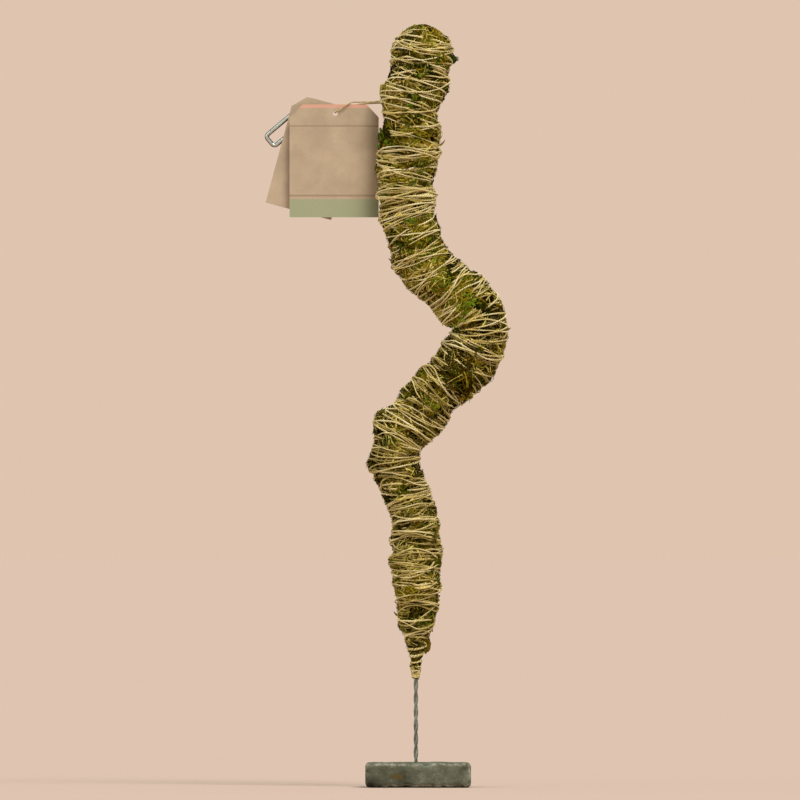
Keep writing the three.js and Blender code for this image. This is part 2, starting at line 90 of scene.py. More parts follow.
# Moss skin, with layers of lumps, of tone and of pockets of painted shade that each have a grain and a
# weight.
# Under the two soft girths the moss is too thin to swell or sink as far
SKIN_SINK = 0.0019
SKIN_STEP = 0.0011
SKIN_SIDES = 150
SKIN_LEAST = 0.4
SOFT_GIRTH = 0.018
LUMP_GIRTH = 0.022
LUMPS = [(0.026, 0.0040), (0.011, 0.0030), (0.0042, 0.0008)]
LUMP_DEPTH = 0.0055
TONES = [(0.030, 0.4), (0.011, 0.35), (0.005, 0.2)]
TONE_MEAN = 0.34
POCKETS = [(0.0085, 0.9), (0.0045, 0.8)]
POCKET_LEVEL = 0.6
POCKET_EASE = 1.1
CLUMP_GRAIN = 0.009
CINCH = 0.0010
CINCH_ROUNDS = 2
# Bulges and dips of the outline that the photograph shows: along, angle, half length, height
BULGES = np.array([
    (162, 0, 12, 2.5), (174, 180, 16, -4.5), (228, 0, 14, -3.5), (270, 0, 16, 3.5), (309, 180, 5, 6.2),
    (322, 180, 4, -4.5), (336, 180, 6, 6.2), (336, 0, 12, -3.0), (356, 180, 14, -2.5), (390, 0, 8, -2.0),
    (417, 0, 18, 7.0), (437, 0, 10, 2.5), (460, 0, 14, -3.0), (500, 0, 10, 2.0), (510, 180, 16, -2.5),
    (522, 0, 10, 3.0), (537, 180, 8, -2.5), (560, 180, 6, 4.5), (582, 0, 12, 4.5), (588, 180, 12, -4.5),
    (628, 0, 16, -2.0), (668, 0, 14, -4.5), (672, 180, 12, 3.0), (711, 180, 10, 3.5), (745, 0, 10, -2.8),
    (762, 180, 14, -3.5),
]) / (MM, DEGREE, MM, MM)
BULGE_SPREAD = 0.026
BULGE_STRETCH = 1.6
# Patches of moss over the twine on the photographed side: along, angle, half length, half width, greenness
PATCHES = np.array([
    (739.5, -86, 5, 13, 0.62), (766, -74, 6, 7, 0.50), (751.5, -47, 6, 7, 0.56), (709.5, -103, 4.5, 10, 0.60),
    (689, -95, 4.5, 11, 0.62), (674.3, -158, 13, 15, 0.66), (672.3, -65, 6, 10, 0.60),
    (647.5, -55, 5, 7, 0.56), (642.2, -100, 5, 12, 0.10), (587.7, -81, 5, 8, 0.60), (570, -116, 6, 8, 0.56),
    (524.2, -91, 10, 11, 0.58), (495, -81, 8.5, 11, 0.66), (481.3, -60, 6, 8, 0.60),
    (444.2, -78, 3.5, 5, 0.56), (424.8, -124, 6, 6, 0.58), (415, -70, 13.5, 17, 0.06),
    (374.8, -69, 6, 13, 0.64), (369.3, -145, 5, 7, 0.56), (325.5, -104, 5, 9, 0.62),
    (294.8, -42, 6, 10, 0.50), (280.7, -100, 4.5, 9, 0.60), (232, -33, 5, 7, 0.64),
    (209.7, -20, 6, 6, 0.66), (191.5, -23, 5, 6, 0.62), (181.7, -109, 4, 9, 0.12),
    (163.5, -80, 4, 9, 0.10),
]) / (MM, DEGREE, MM, MM, 1)
PATCH_GRAINS = (0.016, 0.008, 0.004)
PATCH_COVER = 0.0024
PATCH_BULGE = 0.0013
PATCH_FRAY = (0.3, 0.25)
PATCH_EDGE = 1.35
PATCH_EASE = 0.6
PATCH_MOTTLE = 0.12
REAR_GREEN = 0.60
REAR_EDGE = 0.25
REAR_FRAY = 0.45
REAR_LEVEL = 0.20
REAR_EASE = 0.34
FRESHEST = 0.8

# Sprigs, fibres, straws and the tuft round the wire's end. Ranges go from the least to the most, and the
# lift is in degrees. Wander is how far a line's heading strays at its start and how far it turns later
LOW_CLEARANCE = 0.001
TOP_CLEARANCE = 0.006
LEAST_GIRTH = 0.004
MOST_GIRTH = 0.030
GIRTH_SAMPLES = 40
SPARE = 3
RIBBON_ACROSS = (0.15, 0.85)
RIBBON_UP = (0.1, 0.9)
SPRIGS_PER_AREA = 320000
SPRIG_CLEARANCE = 0.0008
SPRIG_ROOT = 0.0003
SPRIG_LONG = (0.0026, 0.0046, 0.0078)
SPRIG_WIDE = (0.0008, 0.0018)
SPRIG_LIFT = (0, 6, 24)
SPRIG_SHOWN = (0.25, 1.05)
SPRIG_SWERVE = 0.6
SPRIG_CURL = (-0.45, 0.0)
SPRIG_ROLL = 0.6
SPRIG_MOTTLE = 0.08
SPRIG_LEAST = 0.5
SPRIG_WIDTHS = np.array([0.25, 1.0, 0.42, 0.86, 0.34, 0.6, 0.06])
SPRIG_SHARES = np.linspace(0, 1, len(SPRIG_WIDTHS))
FIBRES_PER_AREA = 100000
FIBRE_LONG = (0.006, 0.013, 0.026)
FIBRE_WIDE = (0.0002, 0.0005)
FIBRE_ARCH = (0.0, 0.0006, 0.0024)
FIBRE_LIFT = 0.0004
FIBRE_CLEARANCE = 0.003
FIBRE_WANDER = (0.75, 1.4)
FIBRE_END = 0.3
FIBRE_TONE = 0.26
FIBRE_MOTTLE = 0.13
FIBRE_MOST_TONE = 0.45
FIBRE_LIGHT = (0.3, 0.6, 1.0)
FIBRE_SHARES = np.linspace(0, 1, 9)
STRAWS_PER_AREA = 11000
STRAW_LONG = (0.010, 0.018, 0.036)
STRAW_WIDE = (0.0002, 0.0004, 0.0008)
STRAW_LIFT = 0.0002
STRAW_TUCK = 0.0022
STRAW_WANDER = (0.42, 0.7)
STRAW_END = 0.4
STRAW_LIGHT = (0.3, 0.9, 1.5)
STRAW_LOWER = 0.85
STRAW_PALER = 0.3
STRAW_UNDER = 0.8
# Painted shade level of the straws, a little below that of the bulges
STRAW_SHADE_LEVEL = 0.9
STRAW_ROUNDS = 3
STRAW_SHARES = np.linspace(0, 1, 13)
STRAW_SHARE = 0.6
STRAW_TONES = (0.9, 1.0)
TUFT_SPRIGS = 160
TUFT_ROOT = (0.005, 0.010)
TUFT_SPREAD = (0.002, 0.0072)
TUFT_TIP = (0.0015, 0.004)
TUFT_POINT = 0.0012
TUFT_WIDE = (0.0007, 0.0014)
TUFT_TONE = (0.4, 0.6)
TUFT_LIGHT = 0.1
# Painted shade level of the tuft, which makes it darker
TUFT_SHADE_LEVEL = 0.35
# Loose bits that stand out in the photograph: along, angle, lift, heading, length, half width, tone, paleness
STRAYS = np.array([
    (703.5, 180, 22, 4, 16.5, 1.5, 1.18, 0.9), (704.5, 174, 30, -6, 14.0, 1.3, 1.22, 1.0),
    (706, 186, 26, 8, 13.0, 1.4, 1.10, 0.7), (708, 178, 36, 0, 11.0, 1.3, 1.20, 0.9),
    (709, 170, 30, 12, 9.5, 1.1, 1.05, 0.6), (702.5, 190, 30, -10, 12.0, 1.1, 0.98, 0.6),
    (679, 200, 34, 20, 9.0, 1.1, 0.66, 0.4), (676.5, 188, 40, -50, 8.0, 1.0, 0.58, 0.3),
    (674, 192, 40, -30, 8.5, 1.1, 0.72, 0.5), (671, 186, 44, 40, 8.0, 1.0, 0.62, 0.4),
    (668.5, 202, 36, 15, 8.5, 1.1, 0.54, 0.3), (666, 198, 36, 0, 9.0, 1.1, 0.64, 0.5),
    (662, 190, 40, -60, 8.0, 1.0, 0.70, 0.4), (658, 194, 30, 30, 8.0, 1.1, 0.60, 0.4),
    (663, 356, 50, 20, 13.0, 0.9, 0.20, 0.4), (462, 352, 50, 60, 10.0, 0.8, 0.10, 0.3),
    (155.6, 182, 56, 20, 11.0, 0.9, 0.10, 0.4), (136, 358, 40, 178, 15.0, 2.8, 0.28, 0.2),
    (133, 352, 36, 172, 12.0, 2.6, 0.22, 0.1), (130, 2, 44, 165, 10.0, 2.4, 0.30, 0.2),
    (127, 0, 40, 175, 8.0, 2.0, 0.24, 0.1), (260, 190, 40, 10, 7.0, 0.8, 0.15, 0.4),
    (356, 176, 46, -20, 7.0, 0.8, 0.10, 0.4), (562, 186, 44, 30, 9.0, 0.8, 0.12, 0.4),
]) / (MM, DEGREE, DEGREE, DEGREE, MM, MM, 1, 1)
STRAY_WIDTHS = np.array([0.7, 1.0, 0.86, 1.0, 0.72, 0.6, 0.15])
STRAY_CURL = -0.3

# Binding twine, wound in passes up and down the pole, the first ones half sunk in the moss
TWINE = 0.0018
TWINE_SIDES = 8
TWINE_LAY = 0.0055
TWINE_LOBE = 0.15
TWINE_STEP = 0.0008
TWINE_TONE = 0.48
PALER_FROM = 0.36
PALER_OVER = 0.1
PALER_TWINE = 0.12
# Unevenness along a strand: grain and depth of its tone, twice, and of its thickness
TWINE_WAVERS = [(0.03, 0.3), (0.008, 0.22), (0.012, 0.3)]
TWINE_CELL = 0.0008
TWINE_COLUMNS = 200
TURN_STEPS = 180
MOST_TURNS = 400
PITCH_UNEVEN = (0.72, 1.28)
SQUEEZE = 0.75
SUNK = 0.6 / MM
# Height of a strand on its middle and on its flanks, and of its core, as shares of its thickness
STRAND_CREST = 0.9
STRAND_FLANK = 0.55
STRAND_RAISE = 0.42
# Steps to each side over which a strand stays as high as its neighbours, and is then evened out
STRAND_SPAN = 3
STRAND_EASE = 5
FOOT_EASE = 9
# The last passes lie on top, and the patches of moss hide them less
TOP_PASSES = 2
TOP_HIDDEN = 0.45
# Each pass: low, high, pitch, tilt and sink in millimetres, then its share of the thickness and its paleness.
# The paleness is lower for the passes sunk deeper in the moss, as painted shade
PASSES = [
    (120, 769, 17, 9, 0.9, 0.80, -0.30), (124, 767, 15, 7, 1.0, 0.86, -0.36),
    (122, 770, 19, 12, 0.8, 0.76, -0.26), (160, 300, 12.5, 5, 0.6, 0.84, -0.20),
    (590, 602, 5.8, 10, 0.4, 0.90, -0.06), (608, 620, 5.5, 10, 0.4, 0.90, -0.06),
    (644, 658, 5.5, 11.5, 0.4, 0.90, -0.04), (304, 340, 8, 6, 0.5, 0.86, -0.16),
    (440, 492, 15, 4, 0.5, 0.86, -0.10), (733, 772, 11, 23, 0.3, 0.92, -0.04),
    (728, 774, 13, 26, 0.1, 0.94, 0.04), (98.5, 770, 15, 6, 0.3, 0.86, 0.00),
    (118, 772, 18, 10, 0.2, 0.92, 0.04), (122, 774, 21, 13, 0.1, 0.74, 0.06),
    (126, 772, 24, 16, 0.0, 0.80, 0.10),
]
# Places with closer or wider turns: along, half length and how much closer
BANDS = [
    (0.653, 0.008, 0.7), (0.616, 0.010, 0.5), (0.598, 0.009, 0.5), (0.225, 0.060, 0.45), (0.464, 0.026, 0.25),
    (0.323, 0.022, 0.35), (0.425, 0.014, -0.50), (0.674, 0.012, -0.25), (0.637, 0.007, -0.45),
]
STRAND_WOBBLE = [(0.007, 0.0003), (0.018, 0.0008)]
WOBBLE_LEAST = 0.3
WAVE_SHARE = 0.35
LEAN_PHASE = 0.7
STRAND_SAMPLE = 0.0009
STRAND_DIP = (0.014, 0.0028)
DIP_LEAST = 0.0007
CALM_REACH = 0.03
CALM_PAST = 0.020
BEND_CALM = 36.0
MOST_CALM = 0.8
ELBOWS = [(0.3233, 1), (0.4624, -1), (0.5704, 1)]
ELBOW_REACH = 0.060
INNER_SPREAD = 0.8
# Under this height a pass climbs slowly and runs level
TIE_TOP = 0.113
TIE_PITCH = 0.0034
# Binding of the tapered foot: a thicker strand, with its turns side by side at the very bottom
FOOT_TOP = 0.1300
FOOT_KNOT = 0.1065
FOOT_PITCH = 0.0066
KNOT_PITCH = 0.0017
KNOT_EASE = 0.004
KNOT_SLIM = 0.30
FOOT_SAG = 0.0019
SAG_EASE = 0.010
FOOT_THICK = 0.0027
FOOT_SINK = 0.3
FOOT_PALE = 0.14

# Tag string, as in part.mjs
STRING = 0.0016
STRING_SIDES = 10
STRING_STEPS = 8
STRING_LAY = 0.0042
STRING_LOBE = 0.16
STRING_ROUTE = [
    (-0.03032, 0.01225, 0.65869), (-0.03284, 0.01348, 0.65919), (-0.0440, 0.0170, 0.6582),
    (-0.0560, 0.0156, 0.6581), (-0.0635, 0.0120, 0.6576), (-0.0700, 0.0104, 0.6542),
    (-0.0760, 0.0102, 0.6499), (-0.0791, 0.0124, 0.6482), (-0.0795, 0.0170, 0.6482),
    (-0.0795, 0.0240, 0.6482), (-0.0784, 0.0280, 0.6490), (-0.0720, 0.0296, 0.6520),
    (-0.0600, 0.0284, 0.6558), (-0.0440, 0.0265, 0.6572), (-0.0290, 0.0269, 0.6576),
    (-0.02438, 0.0243, 0.65751), (-0.02264, 0.02207, 0.65717),
]

# Cards and pin, as in part.mjs
PUNCH_AT = (-0.0795, 0.6470)
PUNCH = 0.0052
PUNCH_SIDES = 40
PUNCH_INSIDE = 0.98 * PUNCH / 2
PUNCH_BELOW_TOP = 0.0087
CARD_THICK = 0.0005
CARD_CHAMFER = 0.0125
CARD_HEIGHT = 0.1085
CARD_GRID = 0.0024
CARD_MARGIN = 0.6 * CARD_GRID
CARD_WELD = 1e-7
CARD_EDGE_STEPS = 40
TAG_WIDTH = 0.0865
TAG_LEFT = 0.0439
TAG_CURL = 0.050
TAG_CURL_START = 0.062
TAG_DEPTH = 0.01275
LEAF_WIDTH = 0.065
LEAF_LEFT = 0.0425
LEAF_LEAN = math.radians(15)
LEAF_DEPTH = 0.019835
LEAF_FOLD = 0.00265
LEAF_FLAT = LEAF_WIDTH - LEAF_FOLD
LEAF_WHOLE = 2 * LEAF_FLAT + math.pi * LEAF_FOLD
PIN_ROD = 0.0042
PIN_SPAN = 0.013
PIN_LEG = 0.044
PIN_CORNER = 0.0034
PIN_CROWN = (-0.1424, 0.022485, 0.6203)
PIN_RISE = math.radians(40)
PIN_SIDES = 24
PIN_BOW_STEPS = 12
PIN_LEG_STEPS = 30
PIN_TIP = 0.0012
PIN_POINT = 0.72

# Stake and wire end, with wires a little stouter than the solids'
WIRE = 0.0027
WIRE_SPACING = 0.0017
WIRE_TWIST = 0.026
WIRE_SIDES = 16
WIRE_STEP = 0.0009
WIRE_POINT = 0.05
WIRE_BOTTOM = 0.0005
WIRE_TOP = 0.118
HOOK_START = np.array([0.0120, 0.0, 0.6954])
HOOK_END = np.array([0.0395, 0.0, 0.6995])

# Block, as in part.mjs, with the grain and depth of its roughness, its pits and its chips
BLOCK_SIDE = 0.102
BLOCK_HEIGHT = 0.024
BLOCK_ROUND = 0.0042
BLOCK_STEP = 0.0011
BLOCK_ROUGH = [(0.016, 0.0005), (0.006, 0.00035), (0.0026, 0.0002)]
BLOCK_REACH = 0.06
ROUGH_SINK = 0.6
EDGE_LEAN = 0.29
EDGE_LEAST = 0.5
PITS = 260
PIT_SIZES = ((0.0007, 0.0022), (0.2, 0.5))
CHIPS = 110
CHIP_SIZES = ((0.0016, 0.0046), (0.16, 0.34))
STAKE_X = -0.002
STAKE_HOLE = 0.0062
STAKE_DEPTH = 0.017
DRILL_SIDES = 40
STAINS = [(-0.0232, -0.051, 0.0112), (-0.0196, -0.051, 0.0108), (-0.0166, -0.051, 0.0104)]
# Painted shadow: a dark patch at the lower left corner of the block
PAINTED_SHADOW_AT = (-0.0460, -0.0505, 0.0)

# Floor and light
FLOOR_REACH = 300.0
FLOOR_SIDES = 96
FLOOR_WEAR = 0.985
SKY_LOW = (0.42, 0.38, 0.34, 1.0)
SKY_HIGH = (0.92, 0.90, 0.87, 1.0)
# Each sun: where it shines from, strength, spread in degrees and colour
SUNS = {
    "key_light": ((0.60, -0.90, 1.40), 2.3, 26, (1.0, 0.965, 0.91)),
    "fill_light": ((-1.2, -0.6, 0.4), 1.0, 70, (1.0, 0.97, 0.94)),
}


def unit(vectors):
    """The vectors at length one."""
    return vectors / np.linalg.norm(vectors, axis=-1, keepdims=True)


def smooth(share):
    """Eases from 0 to 1."""
    share = np.clip(share, 0, 1)
    return share * share * (3 - 2 * share)


def swung(x, z, angle):
    """Places in the XZ plane, turned clockwise by an angle."""
    return x * math.cos(angle) + z * math.sin(angle), z * math.cos(angle) - x * math.sin(angle)


def make_route(stops, bends):
    """Straight runs and arcs in the XZ plane: rows of distance, x, z, heading and curve, and the length."""
    stops = np.array(stops)
    headings = [math.atan2(*leg) for leg in np.diff(stops, axis=0)]
    rows = []
    at = stops[0]
    length = 0.0
    for corner, bend, heading, after in zip(stops[1:], bends, headings, headings[1:]):
        turn = math.remainder(after - heading, math.tau)
        run = np.linalg.norm(corner - at) - bend * math.tan(abs(turn) / 2)
        rows.append((length, *at, heading, 0.0))
        length += run
        at = at + run * np.array([math.sin(heading), math.cos(heading)])
        curve = math.copysign(1 / bend, turn)
        rows.append((length, *at, heading, curve))
        length += bend * abs(turn)
        out = heading + turn
        at = at + np.array([math.cos(heading) - math.cos(out), math.sin(out) - math.sin(heading)]) / curve
    ending = stops[-1] - at
    rows.append((length, *at, math.atan2(*ending), 0.0))
    return np.array(rows), length + float(np.linalg.norm(ending))


POLE, POLE_LENGTH = make_route([FOOT, *(at for at, _ in CORNERS), CROWN_TOP], [bend for _, bend in CORNERS])
CROWN_FOOT = POLE_LENGTH - CROWN_DOME
HOOK_AHEAD = unit(HOOK_END - HOOK_START)
HOOK_UP = np.cross(HOOK_AHEAD, BACK)


def route_at(distance):
    """Points, directions and right-hand sides at distances along the pole's core."""
    row = np.clip(np.searchsorted(POLE[:, 0], distance, side="right") - 1, 0, len(POLE) - 1)
    start, x, z, heading, curve = np.moveaxis(POLE[row], -1, 0)
    run = distance - start
    turned = heading + curve * run
    straight = curve == 0
    divide = np.where(straight, 1, curve)
    across = np.where(straight, run * np.sin(heading), (np.cos(heading) - np.cos(turned)) / divide)
    up = np.where(straight, run * np.cos(heading), (np.sin(turned) - np.sin(heading)) / divide)
    level = np.zeros_like(x)
    point = np.stack([x + across, level, z + up], -1)
    along = np.stack([np.sin(turned), level, np.cos(turned)], -1)
    right = np.stack([np.cos(turned), level, -np.sin(turned)], -1)
    return point, along, right


def ringed(right, back, angle):
    """Directions at angles round two sides that stand square to each other."""
    return np.cos(angle)[..., None] * right + np.sin(angle)[..., None] * back


def on_pole(along, angle, radius):
    """Points round the pole's core: angle 0 is to the right and a quarter turn is to the back."""
    point, _, right = route_at(along)
    return point + radius[..., None] * ringed(right, BACK, angle)


def outward_at(along, angle):
    """Directions out of the moss and up along it, which lean over on the dome."""
    radial = ringed(route_at(along)[2], BACK, angle)
    ahead = np.minimum(along + SLOPE_STEP, POLE_LENGTH - SLOPE_STEP / 4)
    behind = ahead - 2 * SLOPE_STEP
    forward = unit(on_pole(ahead, angle, girth_at(ahead)) - on_pole(behind, angle, girth_at(behind)))
    return unit(radial - forward * np.sum(radial * forward, -1, keepdims=True)), forward


def girth_at(along):
    """Radius of the wrapped moss, eased between the listed ones, with a domed crown."""
    row = np.clip(np.searchsorted(GIRTH[:, 0], along, side="right") - 1, 0, len(GIRTH) - 2)
    (low, least), (high, most) = np.moveaxis(GIRTH[row], -1, 0), np.moveaxis(GIRTH[row + 1], -1, 0)
    radius = least + smooth((along - low) / (high - low)) * (most - least)
    dome = np.clip((along - CROWN_FOOT) / CROWN_DOME, 0, 1)
    return radius * np.sqrt(1 - dome**2) ** (2 * CROWN_FLAT)


def softness(along):
    """From 0 where there is no moss to 1 where it is thick enough to give way."""
    return np.minimum(1, girth_at(along) / SOFT_GIRTH)


def noise_in(table, place):
    """Smooth noise at places in a table of values, which starts again at its ends."""
    cell = np.floor(place).astype(int)
    share = smooth(place - cell)
    total = 0
    for corner in np.ndindex((2,) * table.ndim):
        weight = np.prod(np.where(corner, share, 1 - share), -1)
        at = (cell + corner) % table.shape
        total = total + weight * table[tuple(np.moveaxis(at, -1, 0))]
    return total


def wrapped_noise(grain):
    """Smooth noise from -1 to 1 round the pole, with lumps of about that grain."""
    columns = max(3, round(math.tau * GIRTH[-1, 1] / grain))
    table = random.uniform(-1, 1, (int(POLE_LENGTH / grain) + 3, columns))

    def value(along, angle):
        return noise_in(table, np.stack([along / grain, angle / math.tau % 1 * columns], -1))

    return value


def lengths(line):
    """Distance of each point along a line."""
    steps = np.linalg.norm(np.diff(line, axis=0), axis=1)
    return np.concatenate([[0.0], np.cumsum(steps)])


def carried_sides(line):
    """Two sides at each point of a line, carried along it without twist."""
    tangent = unit(np.gradient(line, axis=0))
    side = np.zeros_like(line)
    start = np.cross(tangent[0], tangent[0][[1, 2, 0]])
    for i, forward in enumerate(tangent):
        start = unit(start - forward * start.dot(forward))
        side[i] = start
    return side, np.cross(tangent, side)


def ring_faces(rings, sides):
    """Faces between rings of points that follow each other."""
    ring = np.arange(sides)
    after = (ring + 1) % sides
    row = np.arange(rings - 1)[:, None] * sides
    return np.stack([row + ring, row + after, row + sides + after, row + sides + ring], -1).reshape(-1, 4)


def tube(line, side, up, radius, sides, phase=None, lobe=0.0):
    """Points, faces and crease values of a tube, or with a phase, of two plies that turn round each other.
    The crease values are low in the creases between the plies and serve for painted shade.
    """
    turn = np.arange(sides) * math.tau / sides
    swing = np.ones((len(line), sides))
    if phase is not None:
        swing = np.cos(2 * (turn - phase[:, None]))
    reach = np.broadcast_to(radius, len(line))[:, None] * (1 - lobe + lobe * swing)
    points = line[:, None] + reach[..., None] * ringed(side[:, None], up[:, None], turn)
    ring = np.arange(sides)
    caps = np.stack([ring[::-1], ring + (len(line) - 1) * sides])
    return points.reshape(-1, 3), [ring_faces(len(line), sides), caps], swing.ravel()


def joined(parts):
    """Several meshes in one. Each part has its points and faces, and then values for its points."""
    points, faces, *values = zip(*parts)
    firsts = np.cumsum([0] + [len(some) for some in points])
    moved = [some + first for found, first in zip(faces, firsts) for some in found]
    return np.concatenate(points), moved, *map(np.concatenate, values)


def make_piece(name, points, faces, look, flat=False, places=None, **values):
    """A new mesh object with a material and one value for each point under each given name.
    Places in the unit square, one for each point, are its layout for baked colours."""
    mesh = bpy.data.meshes.new(name)
    corners = [face for some in faces for face in np.asarray(some).tolist()]
    mesh.from_pydata(points.tolist(), [], corners, flat)
    for key, value in values.items():
        attribute = mesh.attributes.new(key, "FLOAT", "POINT")
        attribute.data.foreach_set("value", np.asarray(value, np.float32))
    if places is not None:
        corner = np.concatenate([np.ravel(some) for some in faces])
        layer = mesh.uv_layers.new(name="OFBake")
        layer.data.foreach_set("uv", np.asarray(places, np.float32)[corner].ravel())
    mesh.materials.append(look)
    piece = bpy.data.objects.new(name, mesh)
    bpy.context.scene.collection.objects.link(piece)
    return piece


def attach(piece, body, slot, *nodes):
    """Lets a piece ride on a body and stand for its CAD nodes. Its slot is not used."""
    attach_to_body(piece, body)
    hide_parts(*nodes)


class Look:
    """A node material, or the nodes of another owner, built up step by step."""

    def __init__(self, name, owner=None, shader="Principled BSDF", **settings):
        self.owner = bpy.data.materials.new(name) if owner is None else owner
        self.owner.use_nodes = True
        self.tree = self.owner.node_tree
        self.shader = self.tree.nodes[shader]
        for key, value in settings.items():
            self.shader.inputs[key.replace("_", " ")].default_value = value

    def add(self, kind, inputs=None, **settings):
        made = self.tree.nodes.new("ShaderNode" + kind)
        for key, value in settings.items():
            setattr(made, key, value)
        for key, value in (inputs or {}).items():
            self.feed(made.inputs[key], value)
        return made

    def feed(self, socket, value):
        if isinstance(value, bpy.types.NodeSocket):
            self.tree.links.new(value, socket)
        else:
            socket.default_value = value

    def place(self):
        return self.add("TexCoord").outputs["Object"]

    def value(self, name):
        return self.add("Attribute", attribute_name=name).outputs["Fac"]

    def noise(self, scale, detail=3.0, rough=0.55):
        inputs = {"Vector": self.place(), "Scale": scale, "Detail": detail, "Roughness": rough}
        return self.add("TexNoise", inputs).outputs["Fac"]

    def math(self, operation, first, second, clamp=False):
        return self.add("Math", {0: first, 1: second}, operation=operation, use_clamp=clamp).outputs[0]

    def times(self, *factors):
        product = factors[0]
        for factor in factors[1:]:
            product = self.math("MULTIPLY", product, factor)
        return product

    def ramp(self, share, stops):
        made = self.add("ValToRGB", {"Fac": share})
        points = made.color_ramp.elements
        while len(points) < len(stops):
            points.new(1.0)
        for point, (at, tone) in zip(points, stops):
            point.position = at
            point.color = tone
        return made.outputs["Color"]

    def mix(self, share, first, second, blend="MIX"):
        inputs = {0: share, 6: first, 7: second}
        return self.add("Mix", inputs, data_type="RGBA", blend_type=blend).outputs[2]

    def dimmed(self, tone, dim):
        grey = self.add("CombineColor", {0: dim, 1: dim, 2: dim}).outputs[0]
        return self.mix(1.0, tone, grey, "MULTIPLY")

    def span(self, value, low, high, to_low=0.0, to_high=1.0):
        inputs = {"Value": value, "From Min": low, "From Max": high, "To Min": to_low, "To Max": to_high}
        return self.add("MapRange", inputs, clamp=True).outputs["Result"]

    def near(self, spot, inner, outer):
        offset = self.add("VectorMath", {0: self.place(), 1: spot}, operation="DISTANCE")
        return self.span(offset.outputs["Value"], outer, inner)

    def bump(self, height, distance):
        made = self.add("Bump", {"Height": height, "Distance": distance, "Strength": 1.0})
        self.feed(self.shader.inputs["Normal"], made.outputs["Normal"])

    def paint(self, tone, rough=None):
        self.feed(self.shader.inputs["Base Color"], tone)
        if rough is not None:
            self.feed(self.shader.inputs["Roughness"], rough)
        return self.owner


def colour(red, green, blue):
    """A colour seen on a screen, from 0 to 255, as light."""
    seen = np.array([red, green, blue]) / 255
    light = np.where(seen <= 0.04045, seen / 12.92, ((seen + 0.055) / 1.055) ** 2.4)
    return (*light.tolist(), 1.0)


# Camera, at the photograph's angle
field = PHOTO_PIXELS * PIXEL
middle = PHOTO_PIXELS / 2
aim = Vector(((middle - ORIGIN_PIXEL[0]) * PIXEL, 0.0, (ORIGIN_PIXEL[1] - middle) * PIXEL))
away = Vector((0.0, -math.cos(CAMERA_RISE), math.sin(CAMERA_RISE)))
camera = bpy.data.objects.new("camera", bpy.data.cameras.new("camera"))
camera.data.sensor_width = SENSOR_MM
camera.data.lens = SENSOR_MM * CAMERA_DISTANCE / field
camera.data.clip_end = CAMERA_SIGHT
camera.location = aim + away * CAMERA_DISTANCE
camera.rotation_euler = away.to_track_quat("Z", "Y").to_euler()
bpy.context.scene.collection.objects.link(camera)
bpy.context.scene.camera = camera
bpy.context.scene.view_settings.view_transform = "Standard"


# Tag string, the one free cord: two plies from the pole, through the cards and back
def string_look():
    look = Look("straw_string", Roughness=0.86, Sheen_Weight=0.12)
    fibre = look.noise(900.0, 4.0, 0.7)
    tone = look.ramp(fibre, [(0.3, colour(160, 132, 80)), (0.7, colour(232, 208, 156))])
    look.bump(fibre, 0.0003)
    # Painted shade: the string is darker in the creases between its two plies
    return look.paint(look.dimmed(tone, look.span(look.value("crease"), -1.0, 0.6, 0.35, 1.0)))


def rounded_line(points, steps):
    """A smooth line through points, with that many steps to each span."""
    given = np.array(points)
    ends = np.concatenate([[2 * given[0] - given[1]], given, [2 * given[-1] - given[-2]]])
    share = (np.arange(steps) / steps)[:, None]
    line = []
    for a, b, c, d in zip(ends, ends[1:], ends[2:], ends[3:]):
        square = 2 * a - 5 * b + 4 * c - d
        cube = 3 * b - a - 3 * c + d
        line.append(0.5 * (2 * b + (c - a) * share + square * share**2 + cube * share**3))
    return np.concatenate([*line, given[-1:]])


string_line = rounded_line(STRING_ROUTE, STRING_STEPS)
string_far = lengths(string_line)
plies = (STRING / 2, STRING_SIDES, string_far * math.tau / STRING_LAY, STRING_LOBE)
points, faces, crease = tube(string_line, *carried_sides(string_line), *plies)
tag_cord = make_piece("tag_cord", points, faces, string_look(), crease=crease)
attach(tag_cord, "length_8", "string", "tag_string")

# Floor and light: a plain pale floor under an even sky, with a soft key from the upper right
FLOOR_TONE = colour(188.8, 168.9, 155)
SKY_SEEN = colour(223, 197, 176)


def floor_look():
    look = Look("pale_floor", Roughness=0.9, Specular_IOR_Level=0.0)
    worn = [FLOOR_WEAR * part for part in FLOOR_TONE]
    return look.paint(look.ramp(look.noise(3.0, 2.0), [(0.0, FLOOR_TONE), (1.0, worn)]))


turns = np.arange(FLOOR_SIDES) * math.tau / FLOOR_SIDES
edge = np.stack([np.cos(turns), np.sin(turns), np.zeros(FLOOR_SIDES)], -1) * FLOOR_REACH
floor = make_piece("floor", edge, [[range(FLOOR_SIDES)]], floor_look(), flat=True)

world = bpy.data.worlds.new("studio")
bpy.context.scene.world = world
sky = Look("studio", world, "Background", Strength=1.0)
rise = sky.add("SeparateXYZ", {0: sky.add("TexCoord").outputs["Generated"]}).outputs["Z"]
light = sky.ramp(rise, [(0.0, SKY_LOW), (0.9, SKY_HIGH)])
seen = sky.add("LightPath").outputs["Is Camera Ray"]
sky.feed(sky.shader.inputs["Color"], sky.mix(seen, light, SKY_SEEN))

for name, (direction, strength, spread, tone) in SUNS.items():
    lamp = bpy.data.lights.new(name, "SUN")
    lamp.energy = strength
    lamp.angle = math.radians(spread)
    lamp.color = tone
    holder = bpy.data.objects.new(name, lamp)
    holder.rotation_euler = Vector(direction).to_track_quat("Z", "Y").to_euler()
    bpy.context.scene.collection.objects.link(holder)

